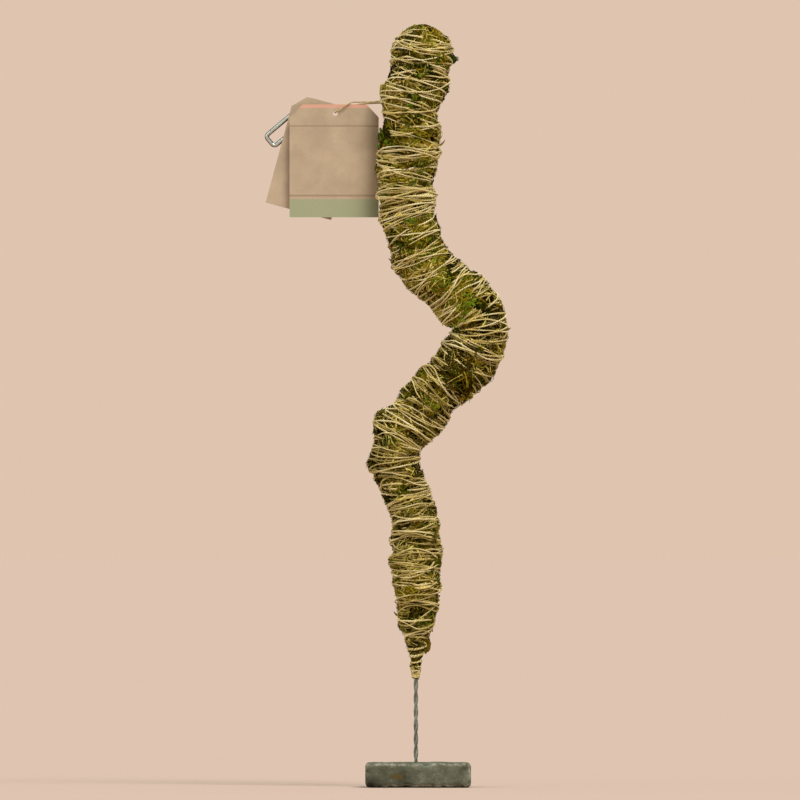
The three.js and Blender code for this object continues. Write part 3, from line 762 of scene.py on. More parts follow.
# Moss and twine: shared fields over the pole's skin
lump_layers = [(wrapped_noise(grain), weight) for grain, weight in LUMPS]
tone_layers = [(wrapped_noise(grain), weight) for grain, weight in TONES]
clump_field = wrapped_noise(CLUMP_GRAIN)
patch_fields = [wrapped_noise(grain) for grain in PATCH_GRAINS]
pocket_layers = [(wrapped_noise(grain), weight) for grain, weight in POCKETS]


def layered(layers, along, angle, start=0.0):
    """A start and all the layers of noise on top of it, each with its weight."""
    return sum((weight * field_at(along, angle) for field_at, weight in layers), start)


def spread_from(along, angle, at, bearing, long, wide):
    """Distance from a place on the moss, as a share of that half length and half width."""
    aside = np.remainder(angle - bearing + math.pi, math.tau) - math.pi
    return np.hypot((along - at) / long, aside * girth_at(along) / wide)


def patches_at(along, angle):
    """Moss over the twine, from 0 to 1, and how green it is: the listed patches and others at the back."""
    large, small, fine = (field_at(along, angle) for field_at in patch_fields)
    rear = smooth((np.sin(angle) + REAR_EDGE) / (2 * REAR_EDGE))
    most = rear * smooth((large + REAR_FRAY * small - REAR_LEVEL) / REAR_EASE)
    green = np.full(np.shape(along), REAR_GREEN)
    ragged = PATCH_FRAY[0] * small + PATCH_FRAY[1] * fine
    for *patch, hue in PATCHES:
        here = smooth((PATCH_EDGE - spread_from(along, angle, *patch) + ragged) / PATCH_EASE)
        green = np.where(here > most, hue, green)
        most = np.maximum(most, here)
    return most, green


def patch_at(along, angle):
    """From 0 where the twine shows to 1 where the moss has grown over it."""
    return patches_at(along, angle)[0]


def depth_at(along, angle):
    """Painted shade of the moss, from 0, darkest, in its hollows and pockets to 1 on its bulges."""
    lumps = layered(lump_layers, along, angle) / LUMP_DEPTH
    return smooth((layered(pocket_layers, along, angle, lumps) + POCKET_LEVEL) / POCKET_EASE)


def skin_at(along, angle):
    """Radius of the bare moss under the twine, with the listed bulges and dips."""
    lumps = layered(lump_layers, along, angle)
    for at, bearing, long, rise in BULGES:
        far = spread_from(along, angle, at, bearing, BULGE_STRETCH * long, BULGE_SPREAD)
        lumps = lumps + rise * (1 - smooth(far))
    radius = girth_at(along)
    lumps = lumps * np.minimum(1, radius / LUMP_GIRTH) ** 2
    return np.maximum(radius - SKIN_SINK + lumps, SKIN_LEAST * radius)


def tone_at(along, angle):
    """How green the moss is, from brown at 0 to fresh green at the most."""
    dry = layered(tone_layers, along, angle, TONE_MEAN)
    cover, green = patches_at(along, angle)
    for field_at, _ in tone_layers[1:]:
        green = green + PATCH_MOTTLE * field_at(along, angle)
    return FRESHEST * np.clip(dry + cover * (green - dry), 0, 1)


def upper_at(along):
    """From 0 on the lower pole to 1 on the upper, where the binding is paler."""
    return smooth((along - PALER_FROM) / PALER_OVER)


grid_rows = int((POLE_LENGTH - MOSS_START) / TWINE_CELL) + 1
grid_along = MOSS_START + np.arange(grid_rows) * TWINE_CELL
grid_angle = np.arange(TWINE_COLUMNS) * math.tau / TWINE_COLUMNS
heights = skin_at(*np.meshgrid(grid_along, grid_angle, indexing="ij"))
bare_heights = heights.copy()
cover = np.zeros_like(heights)


def grid_cells(along, angle, down=0, across=0):
    """Cells of the height field at places on the skin."""
    row = np.round((along - MOSS_START) / TWINE_CELL).astype(int) + down
    column = np.round(angle / math.tau * TWINE_COLUMNS).astype(int) + across
    return np.clip(row, 0, grid_rows - 1), column % TWINE_COLUMNS


def running(values, width, pick):
    """The most or the mean of each value and its neighbours."""
    padded = np.pad(values, width, mode="edge")
    return pick(np.lib.stride_tricks.sliding_window_view(padded, 2 * width + 1), axis=1)


def waver(size, step, grain, depth):
    """Smooth unevenness along a strand of that many steps."""
    every = round(grain / step)
    knots = np.arange(0, size + 2 * every, every)
    return np.interp(np.arange(size), knots, random.uniform(-depth, depth, len(knots)))


def pass_route(low, high, pitch, tilt, downward):
    """Distances along and angles of one pass of twine, with uneven pitch and tilted turns."""
    reach = [low]
    uneven = random.uniform(*PITCH_UNEVEN, MOST_TURNS)
    while reach[-1] < high:
        here = reach[-1]
        dense = 1 + sum(gain * max(0, 1 - ((here - at) / half) ** 2) for at, half, gain in BANDS)
        step = pitch / dense * float(np.interp(len(reach) / TURN_STEPS, np.arange(MOST_TURNS), uneven))
        reach.append(here + (TIE_PITCH if here < TIE_TOP else step) / TURN_STEPS)
    along = np.array(reach)
    turns = np.arange(len(along)) / TURN_STEPS
    count = int(turns[-1]) + 3
    lean = np.interp(turns, np.arange(count), random.uniform(-tilt, tilt, count))
    wave = np.interp(turns, np.arange(count), random.uniform(-WAVE_SHARE, WAVE_SHARE, count) * tilt)
    angle = turns * math.tau * (-1 if downward else 1) + random.uniform(0, math.tau)
    calm = smooth((along - TIE_TOP) / CALM_REACH) * smooth((high + CALM_PAST - along) / CALM_REACH)
    curve = np.abs(POLE[np.searchsorted(POLE[:, 0], along, side="right") - 1, 4])
    calm = calm * (1 - np.minimum(MOST_CALM, running(curve, TURN_STEPS, np.mean) / BEND_CALM))
    for wobble in STRAND_WOBBLE:
        along = along + np.minimum(1, calm + WOBBLE_LEAST) * waver(len(along), STRAND_SAMPLE, *wobble)
    along = along + calm * (lean * np.sin(angle + LEAN_PHASE) + wave * np.sin(2 * angle + turns))
    for at, side in ELBOWS:
        inside = (1 + side * np.cos(angle)) / 2
        off = along - at
        along = along + INNER_SPREAD * inside * off * (1 - smooth(np.abs(off) / ELBOW_REACH))
    along = np.clip(along, MOSS_START + TWINE / 2, POLE_LENGTH - TOP_CLEARANCE)
    return (along[::-1], angle[::-1]) if downward else (along, angle)


def lay_twine(along, angle, sink, thick, hidden):
    """Lays a strand over the moss and the strands already there, and returns its height."""
    laid = np.zeros(len(along))
    dip = sink + PATCH_COVER * hidden * patch_at(along, angle)
    dip = dip + np.maximum(0, waver(len(along), STRAND_SAMPLE, *STRAND_DIP) - DIP_LEAST)
    dip = dip * softness(along)
    step = TURN_STEPS // 2
    for first in range(0, len(along), step):
        part = slice(first, first + step)
        cells = [(down, grid_cells(along[part], angle[part], down, across))
                 for down in (-1, 0, 1) for across in (-1, 0, 1)]
        bare = bare_heights[grid_cells(along[part], angle[part])]
        laid[part] = bare + SQUEEZE * (np.max([heights[cell] for _, cell in cells], axis=0) - bare)
        for down, cell in cells:
            rise = thick * (STRAND_FLANK if down else STRAND_CREST)
            np.maximum.at(heights, cell, laid[part] - dip[part] + rise)
            if sink < SUNK:
                cover[cell] = 1
    return running(running(laid - dip, STRAND_SPAN, np.max), STRAND_EASE, np.mean) + STRAND_RAISE * thick


strands = []
for number, (*sizes, thick, pale) in enumerate(PASSES):
    low, high, pitch, tilt, sink = (size / MM for size in sizes)
    along, angle = pass_route(low, high, pitch, tilt, number % 2 == 1)
    hidden = 1.0 if number < len(PASSES) - TOP_PASSES else TOP_HIDDEN
    height = lay_twine(along, angle, sink, thick * TWINE, hidden)
    above = along > FOOT_TOP
    strands.append((along[above], angle[above], height[above], thick * TWINE, pale))


def over_knot(along):
    """From 0 in the knot at the very bottom to 1 above it."""
    return smooth((along - FOOT_KNOT) / KNOT_EASE)


def foot_route():
    """Distances along and angles of the binding of the foot, which sags a little in front."""
    reach = [MOSS_START + TWINE / 2]
    while reach[-1] < FOOT_TOP:
        pitch = KNOT_PITCH + (FOOT_PITCH - KNOT_PITCH) * over_knot(reach[-1])
        reach.append(reach[-1] + pitch / TURN_STEPS)
    along = np.array(reach)
    angle = np.arange(len(along)) * math.tau / TURN_STEPS
    return along + FOOT_SAG * smooth((along - FOOT_KNOT) / SAG_EASE) * np.sin(angle), angle


foot_rows = grid_along < FOOT_TOP
heights[foot_rows] = bare_heights[foot_rows]
cover[foot_rows] = 0
along, angle = foot_route()
foot_cells = grid_cells(along, angle)
height = running(bare_heights[foot_cells], FOOT_EASE, np.mean) + FOOT_SINK * FOOT_THICK
np.maximum.at(heights, foot_cells, height + FOOT_THICK / 2)
cover[foot_cells] = 1
strands.append((along, angle, height, FOOT_THICK, FOOT_PALE))

pulled = cover.copy()
for _ in range(CINCH_ROUNDS):
    pulled = (pulled + np.roll(pulled, 1, 1) + np.roll(pulled, -1, 1)) / 3
    pulled[1:-1] = (pulled[:-2] + pulled[1:-1] + pulled[2:]) / 3


def dressed_skin(along, angle):
    """Radius of the moss where the twine pulls it in."""
    swell = PATCH_BULGE * patch_at(along, angle) - CINCH * pulled[grid_cells(along, angle)]
    return skin_at(along, angle) + softness(along) * swell


# Looks of the moss and twine. The moss goes from brown to fresh green, with straw at the end
MOSS_TONES = [
    (0.0, colour(64, 44, 4)), (0.17, colour(120, 96, 20)), (0.32, colour(136, 124, 32)),
    (0.49, colour(76, 102, 18)), (0.8, colour(116, 134, 36)), (1.0, colour(198, 174, 98)),
]
TWINE_TONES = [(0.0, colour(120, 100, 20)), (0.45, colour(206, 184, 102)), (1.0, colour(250, 238, 186))]


def skin_look():
    look = Look("moss_mat", Roughness=0.95, Specular_IOR_Level=0.0)
    fine = look.noise(1100.0, 5.0, 0.75)
    both = look.math("ADD", fine, look.noise(320.0, 3.0, 0.6))
    tone = look.math("ADD", look.value("tone"), look.span(fine, 0.3, 0.7, -0.12, 0.1), True)
    grain = look.span(both, 0.7, 1.3, 0.28, 0.86)
    # Painted shade: the moss skin is darker in its hollows and pockets
    dim = look.times(grain, look.span(look.value("deep"), 0.0, 1.0, 0.16, 1.1))
    look.bump(both, 0.0012)
    return look.paint(look.dimmed(look.ramp(tone, MOSS_TONES), dim))


def sprig_look():
    look = Look("moss_sprigs", Roughness=0.82, Specular_IOR_Level=0.0)
    tip = look.span(look.value("tip"), 0.0, 2.0, 0.5, 1.8)
    fine = look.span(look.noise(420.0, 3.0), 0.32, 0.68, 0.5, 1.2)
    # Painted shade: sprigs, fibres and straws are darker in the hollows and pockets of the moss
    deep = look.span(look.value("deep"), 0.0, 1.0, 0.18, 1.4)
    return look.paint(look.dimmed(look.ramp(look.value("tone"), MOSS_TONES), look.times(tip, fine, deep)))


def twine_look():
    look = Look("binding_twine", Roughness=0.8, Sheen_Weight=0.1)
    fibre = look.noise(1300.0, 4.0, 0.7)
    share = look.math("ADD", look.span(fibre, 0.25, 0.75, -0.3, 0.3), look.value("tone"), True)
    stained = look.span(look.noise(60.0, 2.0), 0.56, 0.72, 0.0, 0.5)
    tone = look.mix(stained, look.ramp(share, TWINE_TONES), colour(122, 104, 28))
    look.bump(fibre, 0.00035)
    # Painted shade: the twine is darker in the creases between its two plies
    return look.paint(look.dimmed(tone, look.span(look.value("crease"), -1.0, 0.5, 0.42, 1.0)))


KINDS = {
    "moss_skin": (skin_look(), "moss"),
    "moss_sprigs": (sprig_look(), "moss"),
    "twine": (twine_look(), "twine"),
}

# One stretch of moss and twine for each bend, which turns smoothly there
borders = [MOSS_START, *((low + high) / 2 for low, high in zip(MOSS_BENDS, MOSS_BENDS[1:])), POLE_LENGTH]
borders[LAST] = LAST_BORDER


def add_stretch(kind, number, points, faces, nodes, **values):
    """A piece in place, which stands for its CAD nodes."""
    look, slot = KINDS[kind]
    piece = make_piece(f"{kind}_{number + 1}", points, faces, look, **values)
    point, forward, _ = route_at(np.array(MOSS_BENDS[number]))
    turn = np.linspace(0, math.tau, BLEND_RIM)
    reach = BLEND_REACH
    for border in borders[number:number + 2]:
        at = np.full(BLEND_RIM, border)
        rim = on_pole(at, turn, girth_at(at))
        reach = min(reach, BLEND_SHARE * np.abs((rim - point) @ forward).min())
    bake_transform(piece)
    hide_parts(*nodes)


def skin_rows(low, high):
    """Distances of the skin's rings, closer on the dome."""
    top = min(high, CROWN_FOOT)
    rows = np.linspace(low, top, max(2, round((top - low) / SKIN_STEP)))
    if high > CROWN_FOOT:
        dome = np.sin(np.linspace(0, math.pi / 2, DOME_RINGS)[1:-1])
        rows = np.concatenate([rows, CROWN_FOOT + CROWN_DOME * dome])
    return rows


def add_skin(number):
    rows = skin_rows(*borders[number:number + 2])
    ring = np.arange(SKIN_SIDES)
    along, angle = np.meshgrid(rows, ring * math.tau / SKIN_SIDES, indexing="ij")
    points = on_pole(along, angle, dressed_skin(along, angle)).reshape(-1, 3)
    faces = [ring_faces(len(rows), SKIN_SIDES)]
    places = np.stack([angle / math.tau, (along - rows[0]) / (rows[-1] - rows[0])], -1).reshape(-1, 2)
    tone = tone_at(along, angle).ravel()
    # Painted shade of the skin in its hollows and pockets
    deep = depth_at(along, angle).ravel()
    ends = {0: (MOSS_START, ring[::-1], 0.0), LAST: (POLE_LENGTH, ring + len(points) - SKIN_SIDES, 1.0)}
    if number in ends:
        end, rim, place = ends[number]
        faces.append(np.stack([rim, np.roll(rim, -1), np.full(SKIN_SIDES, len(points))], -1))
        points = np.concatenate([points, route_at(np.array([end]))[0]])
        places = np.concatenate([places, [[0.5, place]]])
        tone = np.append(tone, tone[rim[0]])
        deep = np.append(deep, deep[rim[0]])
    after = "moss_crown" if number == LAST else f"moss_length_{number + 2}"
    nodes = [f"moss_length_{number + 1}", f"moss_collar_{number + 1}", after]
    add_stretch("moss_skin", number, points, faces, nodes, places=places, tone=tone, deep=deep)


def scatter(low, high, per_area):
    """Random places on the skin between two distances, even by area."""
    area = math.tau * float(np.mean(girth_at(np.linspace(low, high, GIRTH_SAMPLES)))) * (high - low)
    count = int(area * per_area)
    along = random.uniform(low, high, SPARE * count)
    kept = random.uniform(0, MOST_GIRTH, SPARE * count) < girth_at(along)
    along = along[kept][:count]
    return along, random.uniform(0, math.tau, len(along))


def ribbons(lines, sides, widths, *values):
    """Many flat ribbons with as many rows: their points, faces and places, and each value at every point."""
    count, rows = lines.shape[:2]
    aside = sides * widths[..., None]
    points = np.stack([lines - aside, lines + aside], 2)
    first = (np.arange(count) * rows * 2)[:, None] + np.arange(rows - 1) * 2
    faces = np.stack([first, first + 1, first + 3, first + 2], -1).reshape(-1, 4)
    grid = math.ceil(math.sqrt(count))
    cell = np.stack([np.arange(count) % grid, np.arange(count) // grid], -1)[:, None, None]
    inside = np.zeros((rows, 2, 2))
    inside[..., 0] = RIBBON_ACROSS
    inside[..., 1] = np.linspace(*RIBBON_UP, rows)[:, None]
    places = ((cell + inside) / grid).reshape(-1, 2)
    spread = [np.repeat(np.broadcast_to(value, (count, rows)), 2) for value in values]
    return points.reshape(-1, 3), [faces], places, *spread


def lifted(along, angle, heading, lift):
    """Directions over the moss that lift off it, the ways out of it and the ways round it."""
    out, forward = outward_at(along, angle)
    around = np.cross(forward, out)
    return ringed(ringed(forward, around, heading), out, lift), out, around


def curled(root, direction, out, long, curl):
    """Lines from their roots in a direction, which curl out of it or back to the moss."""
    share = SPRIG_SHARES[:, None]
    return root[:, None] + long[:, None, None] * (share * direction[:, None] + curl * share**2 * out[:, None])


def sprig_mesh(low, high):
    """Feathery sprigs that lie over the moss and lift a little at their tips."""
    along, angle = scatter(low, high, SPRIGS_PER_AREA)
    shown = pulled[grid_cells(along, angle)] * (1 - patch_at(along, angle))
    free = shown < random.uniform(*SPRIG_SHOWN, len(along))
    along, angle = along[free], angle[free]
    count = len(along)
    heading = math.tau * clump_field(along, angle) + random.normal(0, SPRIG_SWERVE, count)
    direction, out, _ = lifted(along, angle, heading, np.radians(random.triangular(*SPRIG_LIFT, count)))
    small = SPRIG_LEAST + (1 - SPRIG_LEAST) * softness(along)
    long = random.triangular(*SPRIG_LONG, count) * small
    wide = random.uniform(*SPRIG_WIDE, count) * small
    root = on_pole(along, angle, dressed_skin(along, angle) - SPRIG_ROOT)
    lines = curled(root, direction, out, long, random.uniform(*SPRIG_CURL, (count, 1, 1)))
    side = unit(np.cross(direction, out) + random.uniform(-SPRIG_ROLL, SPRIG_ROLL, (count, 1)) * out)
    tone = np.clip(tone_at(along, angle) + random.normal(0, SPRIG_MOTTLE, count), 0, FRESHEST)[:, None]
    widths = wide[:, None] * SPRIG_WIDTHS
    return ribbons(lines, side[:, None], widths, tone, SPRIG_SHARES, depth_at(along, angle)[:, None])


def wander(along, angle, share, long, stray, turn, clearance):
    """Distances along and angles of lines that wander over the moss, mostly round the pole."""
    count = len(along)
    step = random.triangular(*long, (count, 1)) / (len(share) - 1)
    heading = math.pi / 2 + random.normal(0, stray, (count, 1))
    heading = heading + random.uniform(-turn, turn, (count, 1)) * share
    run = along[:, None] + np.cumsum(np.cos(heading), 1) * step
    around = np.cumsum(np.sin(heading), 1) * step / np.maximum(girth_at(along), LEAST_GIRTH)[:, None]
    return np.clip(run, MOSS_START + LOW_CLEARANCE, POLE_LENGTH - clearance), angle[:, None] + around


def flat_ribbons(run, turn, radius, *rest):
    """Ribbons that lie flat round the pole at a radius."""
    lines = on_pole(run, turn, radius)
    side = unit(np.cross(unit(np.gradient(lines, axis=1)), outward_at(run, turn)[0]))
    return ribbons(lines, side, *rest)


def fibre_mesh(low, high):
    """Brown and straw fibres that wander over the moss, some lifting off it."""
    along, angle = scatter(low, high, FIBRES_PER_AREA)
    count = len(along)
    run, turn = wander(along, angle, FIBRE_SHARES, FIBRE_LONG, *FIBRE_WANDER, FIBRE_CLEARANCE)
    arch = random.triangular(*FIBRE_ARCH, (count, 1)) * np.sin(math.pi * FIBRE_SHARES)
    wide = random.uniform(*FIBRE_WIDE, (count, 1)) * np.where(FIBRE_SHARES < 1, 1.0, FIBRE_END)
    tone = np.clip(random.normal(FIBRE_TONE, FIBRE_MOTTLE, count), 0, FIBRE_MOST_TONE)
    straw = STRAW_SHARE * (1 - patch_at(along, angle)) * smooth(1 - 2 * tone_at(along, angle))
    tone = np.where(random.uniform(0, 1, count) < straw, random.uniform(*STRAW_TONES, count), tone)
    tip = random.choice(FIBRE_LIGHT, (count, 1))
    radius = dressed_skin(run, turn) + FIBRE_LIFT + arch
    return flat_ribbons(run, turn, radius, wide, tone[:, None], tip, depth_at(along, angle)[:, None])


def straw_mesh(low, high):
    """Flat straws that lie across the twine, tucked into the moss at both ends."""
    along, angle = scatter(low, high, STRAWS_PER_AREA)
    free = random.uniform(0, 1, len(along)) > STRAW_UNDER * patch_at(along, angle)
    along, angle = along[free], angle[free]
    count = len(along)
    run, turn = wander(along, angle, STRAW_SHARES, STRAW_LONG, *STRAW_WANDER, TOP_CLEARANCE)
    top = heights[grid_cells(run, turn)]
    for _ in range(STRAW_ROUNDS):
        top[:, 1:-1] = (top[:, :-2] + top[:, 1:-1] + top[:, 2:]) / 3
    ends = np.abs(2 * STRAW_SHARES - 1)
    wide = random.triangular(*STRAW_WIDE, (count, 1)) * np.where(ends < 1, 1.0, STRAW_END)
    tone = random.uniform(*STRAW_TONES, (count, 1))
    tip = random.triangular(*STRAW_LIGHT, (count, 1)) * (STRAW_LOWER + STRAW_PALER * upper_at(along))[:, None]
    radius = top + STRAW_LIFT - STRAW_TUCK * ends**4
    return flat_ribbons(run, turn, radius, wide, tone, tip, STRAW_SHADE_LEVEL)


def stray_mesh(low, high):
    """Flakes, tufts and twigs that stand out from the moss."""
    inside = (STRAYS[:, 0] >= low) & (STRAYS[:, 0] < high)
    along, angle, lift, heading, long, *rest = STRAYS[inside].T
    wide, tone, pale = (values[:, None] for values in rest)
    direction, out, around = lifted(along, angle, heading, lift)
    lines = curled(on_pole(along, angle, dressed_skin(along, angle)), direction, out, long, STRAY_CURL)
    side = unit(np.cross(direction, around))[:, None]
    return ribbons(lines, side, wide * STRAY_WIDTHS, FRESHEST * tone, pale, 1.0)


def tuft_mesh():
    """A dark cone of moss round the end of the wire, made darker still by painted shade."""
    each = (TUFT_SPRIGS, 1)
    radial = ringed(HOOK_UP, BACK, random.uniform(0, math.tau, TUFT_SPRIGS))
    root = HOOK_END - random.uniform(*TUFT_ROOT, each) * HOOK_AHEAD
    root = root + random.uniform(*TUFT_SPREAD, each) * radial
    tip = HOOK_END - random.uniform(*TUFT_TIP, each) * HOOK_AHEAD + TUFT_POINT * radial
    lines = root[:, None] + SPRIG_SHARES[:, None] * (tip - root)[:, None]
    side = unit(np.cross(tip - root, radial))[:, None]
    wide = random.uniform(*TUFT_WIDE, each) * SPRIG_WIDTHS
    return ribbons(lines, side, wide, random.uniform(*TUFT_TONE, each), TUFT_LIGHT, TUFT_SHADE_LEVEL)


def add_sprigs(number):
    low, high = borders[number:number + 2]
    kinds = [
        sprig_mesh(low, min(high, POLE_LENGTH - SPRIG_CLEARANCE)),
        fibre_mesh(low, min(high, POLE_LENGTH - TOP_CLEARANCE)),
        straw_mesh(low, min(high, POLE_LENGTH - 2 * TOP_CLEARANCE)),
        stray_mesh(low, high),
    ]
    if number == LAST:
        kinds.append(tuft_mesh())
    points, faces, places, tone, tip, deep = joined(kinds)
    lane = np.repeat(np.arange(len(kinds)), [len(kind[0]) for kind in kinds])
    places[:, 0] = (places[:, 0] + lane) / len(kinds)
    add_stretch("moss_sprigs", number, points, faces, [], places=places, tone=tone, tip=tip, deep=deep)


def strand_rings(along, angle, height, thick, pale):
    """Places along a strand at even steps, with its sides, twist, tone and radius."""
    far = lengths(on_pole(along, angle, height))
    even = np.arange(0, far[-1], TWINE_STEP)
    run, turn, radius = (np.interp(even, far, values) for values in (along, angle, height))
    line = on_pole(run, turn, radius)
    tangent = unit(np.gradient(line, axis=0))
    side = unit(np.cross(tangent, outward_at(run, turn)[0]))
    patchy, mottled, slubby = (waver(len(even), TWINE_STEP, *uneven) for uneven in TWINE_WAVERS)
    # Painted shade: a pass's paleness is lower the deeper it is sunk in the moss
    tone = TWINE_TONE + PALER_TWINE * upper_at(run) + pale + patchy + mottled
    radius = thick / 2 * (1 + slubby) * (1 - KNOT_SLIM * (1 - over_knot(run)))
    return run, line, side, np.cross(side, tangent), even * math.tau / TWINE_LAY, tone, radius


laid_strands = [strand_rings(*strand) for strand in strands]


def add_twine(number):
    low, high = borders[number:number + 2]
    around = np.arange(TWINE_SIDES) / TWINE_SIDES
    parts = []
    for run, *strand in laid_strands:
        inside = np.flatnonzero((run >= low) & (run < high))
        for group in np.split(inside, np.flatnonzero(np.diff(inside) > 1) + 1):
            if len(group) and group[0] + 1 < len(run):
                line, side, up, phase, tone, radius = (part[group[0]:group[-1] + 2] for part in strand)
                place = np.meshgrid(np.linspace(0, 1, len(line)), len(parts) + around, indexing="ij")
                parts.append((
                    *tube(line, side, up, radius, TWINE_SIDES, phase, TWINE_LOBE),
                    np.repeat(tone, TWINE_SIDES),
                    np.stack(place, -1).reshape(-1, 2),
                ))
    points, faces, crease, tone, places = joined(parts)
    places[:, 1] /= len(parts)
    nodes = [f"twine_winding_{number + 1}"] + ["twine_winding_crown"] * (number == LAST)
    add_stretch("twine", number, points, faces, nodes, places=places, crease=crease, tone=tone)


for number in range(len(MOSS_BENDS)):
    add_skin(number)
    add_sprigs(number)
    add_twine(number)


# Core wire: dull galvanised steel, twisted in a pair
def wire_look():
    look = Look("galvanised_wire", Metallic=0.85, Roughness=0.5)
    spangle = look.noise(240.0, 4.0, 0.6)
    tone = look.ramp(spangle, [(0.3, colour(88, 92, 84)), (0.7, colour(154, 158, 148))])
    grime = look.span(look.noise(90.0, 3.0), 0.52, 0.7, 0.0, 0.7)
    look.bump(look.noise(1800.0, 3.0, 0.6), 0.00012)
    return look.paint(look.mix(grime, tone, colour(80, 76, 62)), look.span(spangle, 0.3, 0.7, 0.38, 0.62))


wire = wire_look()
for name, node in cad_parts.items():
    if "core_wire" in name:
        node.data.materials.clear()
        node.data.materials.append(wire)


def wire_pair(name, points_at, low, high):
    """Two wires twisted together along a route, with rounded ends."""
    even = np.arange(low, high, WIRE_STEP)
    ends = np.clip(np.minimum(even - low, high - even) / (WIRE / 2), 0, 1)
    radius = WIRE / 2 * np.sqrt(np.clip(1 - (1 - ends) ** 2, WIRE_POINT, 1))
    lines = [points_at(even, even * math.tau / WIRE_TWIST + start) for start in (0.0, math.pi)]
    points, faces, _ = joined([tube(line, *carried_sides(line), radius, WIRE_SIDES) for line in lines])
    return make_piece(name, points, faces, wire)


def round_core(along, angle):
    return on_pole(along, angle, np.full(len(along), WIRE_SPACING / 2))


def round_hook(along, angle):
    """Points round the straight end of the wire, which leaves the crown to the right."""
    return HOOK_START + along[:, None] * HOOK_AHEAD + WIRE_SPACING / 2 * ringed(HOOK_UP, BACK, angle)


stake = wire_pair("twisted_stake", round_core, WIRE_BOTTOM, WIRE_TOP)
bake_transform(stake)
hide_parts("stake_wire_a", "stake_wire_b", "core_wire_1_a", "core_wire_1_b")
wire_end = wire_pair("wire_end", round_hook, 0.0, math.dist(HOOK_START, HOOK_END))
attach(wire_end, "crown", "core_wire", "core_wire_9_a", "core_wire_9_b")


# Stand: a rough cast block with a socket for the stake
def block_look():
    look = Look("cast_stone", Roughness=0.9, Specular_IOR_Level=0.25)
    cloud = look.noise(45.0, 4.0, 0.6)
    grit = look.noise(900.0, 4.0, 0.7)
    stops = [(0.34, colour(58, 62, 46)), (0.5, colour(92, 95, 77)), (0.66, colour(120, 125, 108))]
    tone = look.mix(look.span(grit, 0.3, 0.75, 0.0, 0.45), look.ramp(cloud, stops), colour(70, 68, 56))
    specks = look.add("TexVoronoi", {"Vector": look.place(), "Scale": 330.0})
    pale = look.span(specks.outputs["Distance"], 0.2, 0.12)
    rare = look.span(look.noise(120.0, 2.0), 0.55, 0.62)
    tone = look.mix(look.times(pale, rare), tone, colour(176, 174, 158))
    worn = look.times(look.value("edge"), look.span(look.noise(210.0, 4.0), 0.4, 0.6))
    tone = look.mix(worn, tone, colour(158, 156, 138))
    ragged = look.span(look.noise(260.0, 4.0), 0.34, 0.5)
    for stain in STAINS:
        tone = look.mix(look.times(look.near(stain, 0.0008, 0.0042), ragged), tone, colour(86, 72, 34))
    # Painted shadow: the block is dark at its lower left corner
    tone = look.mix(look.near(PAINTED_SHADOW_AT, 0.004, 0.013), tone, colour(38, 34, 24))
    look.bump(look.math("ADD", grit, cloud), 0.0006)
    return look.paint(tone, look.span(grit, 0.3, 0.7, 0.82, 0.97))


def fine_box(counts):
    """Spots and faces of a box with that many steps along each axis."""
    parts = []
    for axis in range(3):
        steps, *grid = np.roll(counts, -axis)
        i, j = np.indices([count + 1 for count in grid])
        index = np.arange(i.size).reshape(i.shape)
        quads = np.stack([index[:-1, :-1], index[1:, :-1], index[1:, 1:], index[:-1, 1:]], -1).reshape(-1, 4)
        for level, turned in ((0, quads[:, ::-1]), (steps, quads)):
            spots = np.stack([np.full(i.size, level), i.ravel(), j.ravel()], -1)
            parts.append((np.roll(spots, axis, 1), [turned]))
    spots, faces = joined(parts)
    spots, index = np.unique(spots, axis=0, return_inverse=True)
    return spots, index.ravel()[np.concatenate(faces)]


def block_piece():
    """A fine box, rounded, pitted and chipped along its edges, with the stake's socket cut into it."""
    half = np.array([BLOCK_SIDE, BLOCK_SIDE, BLOCK_HEIGHT]) / 2
    counts = np.round(2 * half / BLOCK_STEP).astype(int)
    spots, faces = fine_box(counts)
    points = spots / counts * 2 * half - half
    core = np.clip(points, BLOCK_ROUND - half, half - BLOCK_ROUND)
    out = unit(points - core)
    points = core + BLOCK_ROUND * out
    edge = np.clip((1 - np.abs(out).max(-1)) / EDGE_LEAN, 0, 1)
    for grain, depth in BLOCK_ROUGH:
        table = random.uniform(-1, 1, (int(2 * BLOCK_REACH / grain) + 3,) * 3)
        bump = noise_in(table, (points + BLOCK_REACH) / grain) - ROUGH_SINK
        points = points + out * (depth * bump)[:, None]
    marks = random.integers(0, len(points), PITS)
    rims = random.permutation(np.flatnonzero(edge > EDGE_LEAST))[:CHIPS]
    for mark in np.concatenate([marks, rims]):
        reaches, depths = CHIP_SIZES if edge[mark] > EDGE_LEAST else PIT_SIZES
        reach = random.uniform(*reaches)
        depth = reach * random.uniform(*depths)
        far = np.linalg.norm(points - points[mark], axis=1)
        points = points - out * (depth * np.clip(1 - (far / reach) ** 2, 0, 1) ** 2)[:, None]
    points[:, 2] = np.maximum(points[:, 2] + BLOCK_HEIGHT / 2, 0)
    made = make_piece("cast_block", points, [faces], block_look(), edge=edge)
    hole = np.array([(STAKE_X, 0, BLOCK_HEIGHT - STAKE_DEPTH), (STAKE_X, 0, 2 * BLOCK_HEIGHT)])
    sides = (np.array([(1.0, 0, 0)] * 2), np.array([(0, 1.0, 0)] * 2))
    points, faces, _ = tube(hole, *sides, STAKE_HOLE / 2, DRILL_SIDES)
    drill = make_piece("drill", points, faces, made.data.materials[0], edge=np.zeros(len(points)))
    cut = made.modifiers.new("socket", "BOOLEAN")
    cut.object = drill
    cut.solver = "EXACT"
    bpy.context.view_layer.update()
    made.data = bpy.data.meshes.new_from_object(made.evaluated_get(bpy.context.evaluated_depsgraph_get()))
    made.modifiers.clear()
    bpy.data.objects.remove(drill)
    return made


attach(block_piece(), "stand", "block", "stand_block")

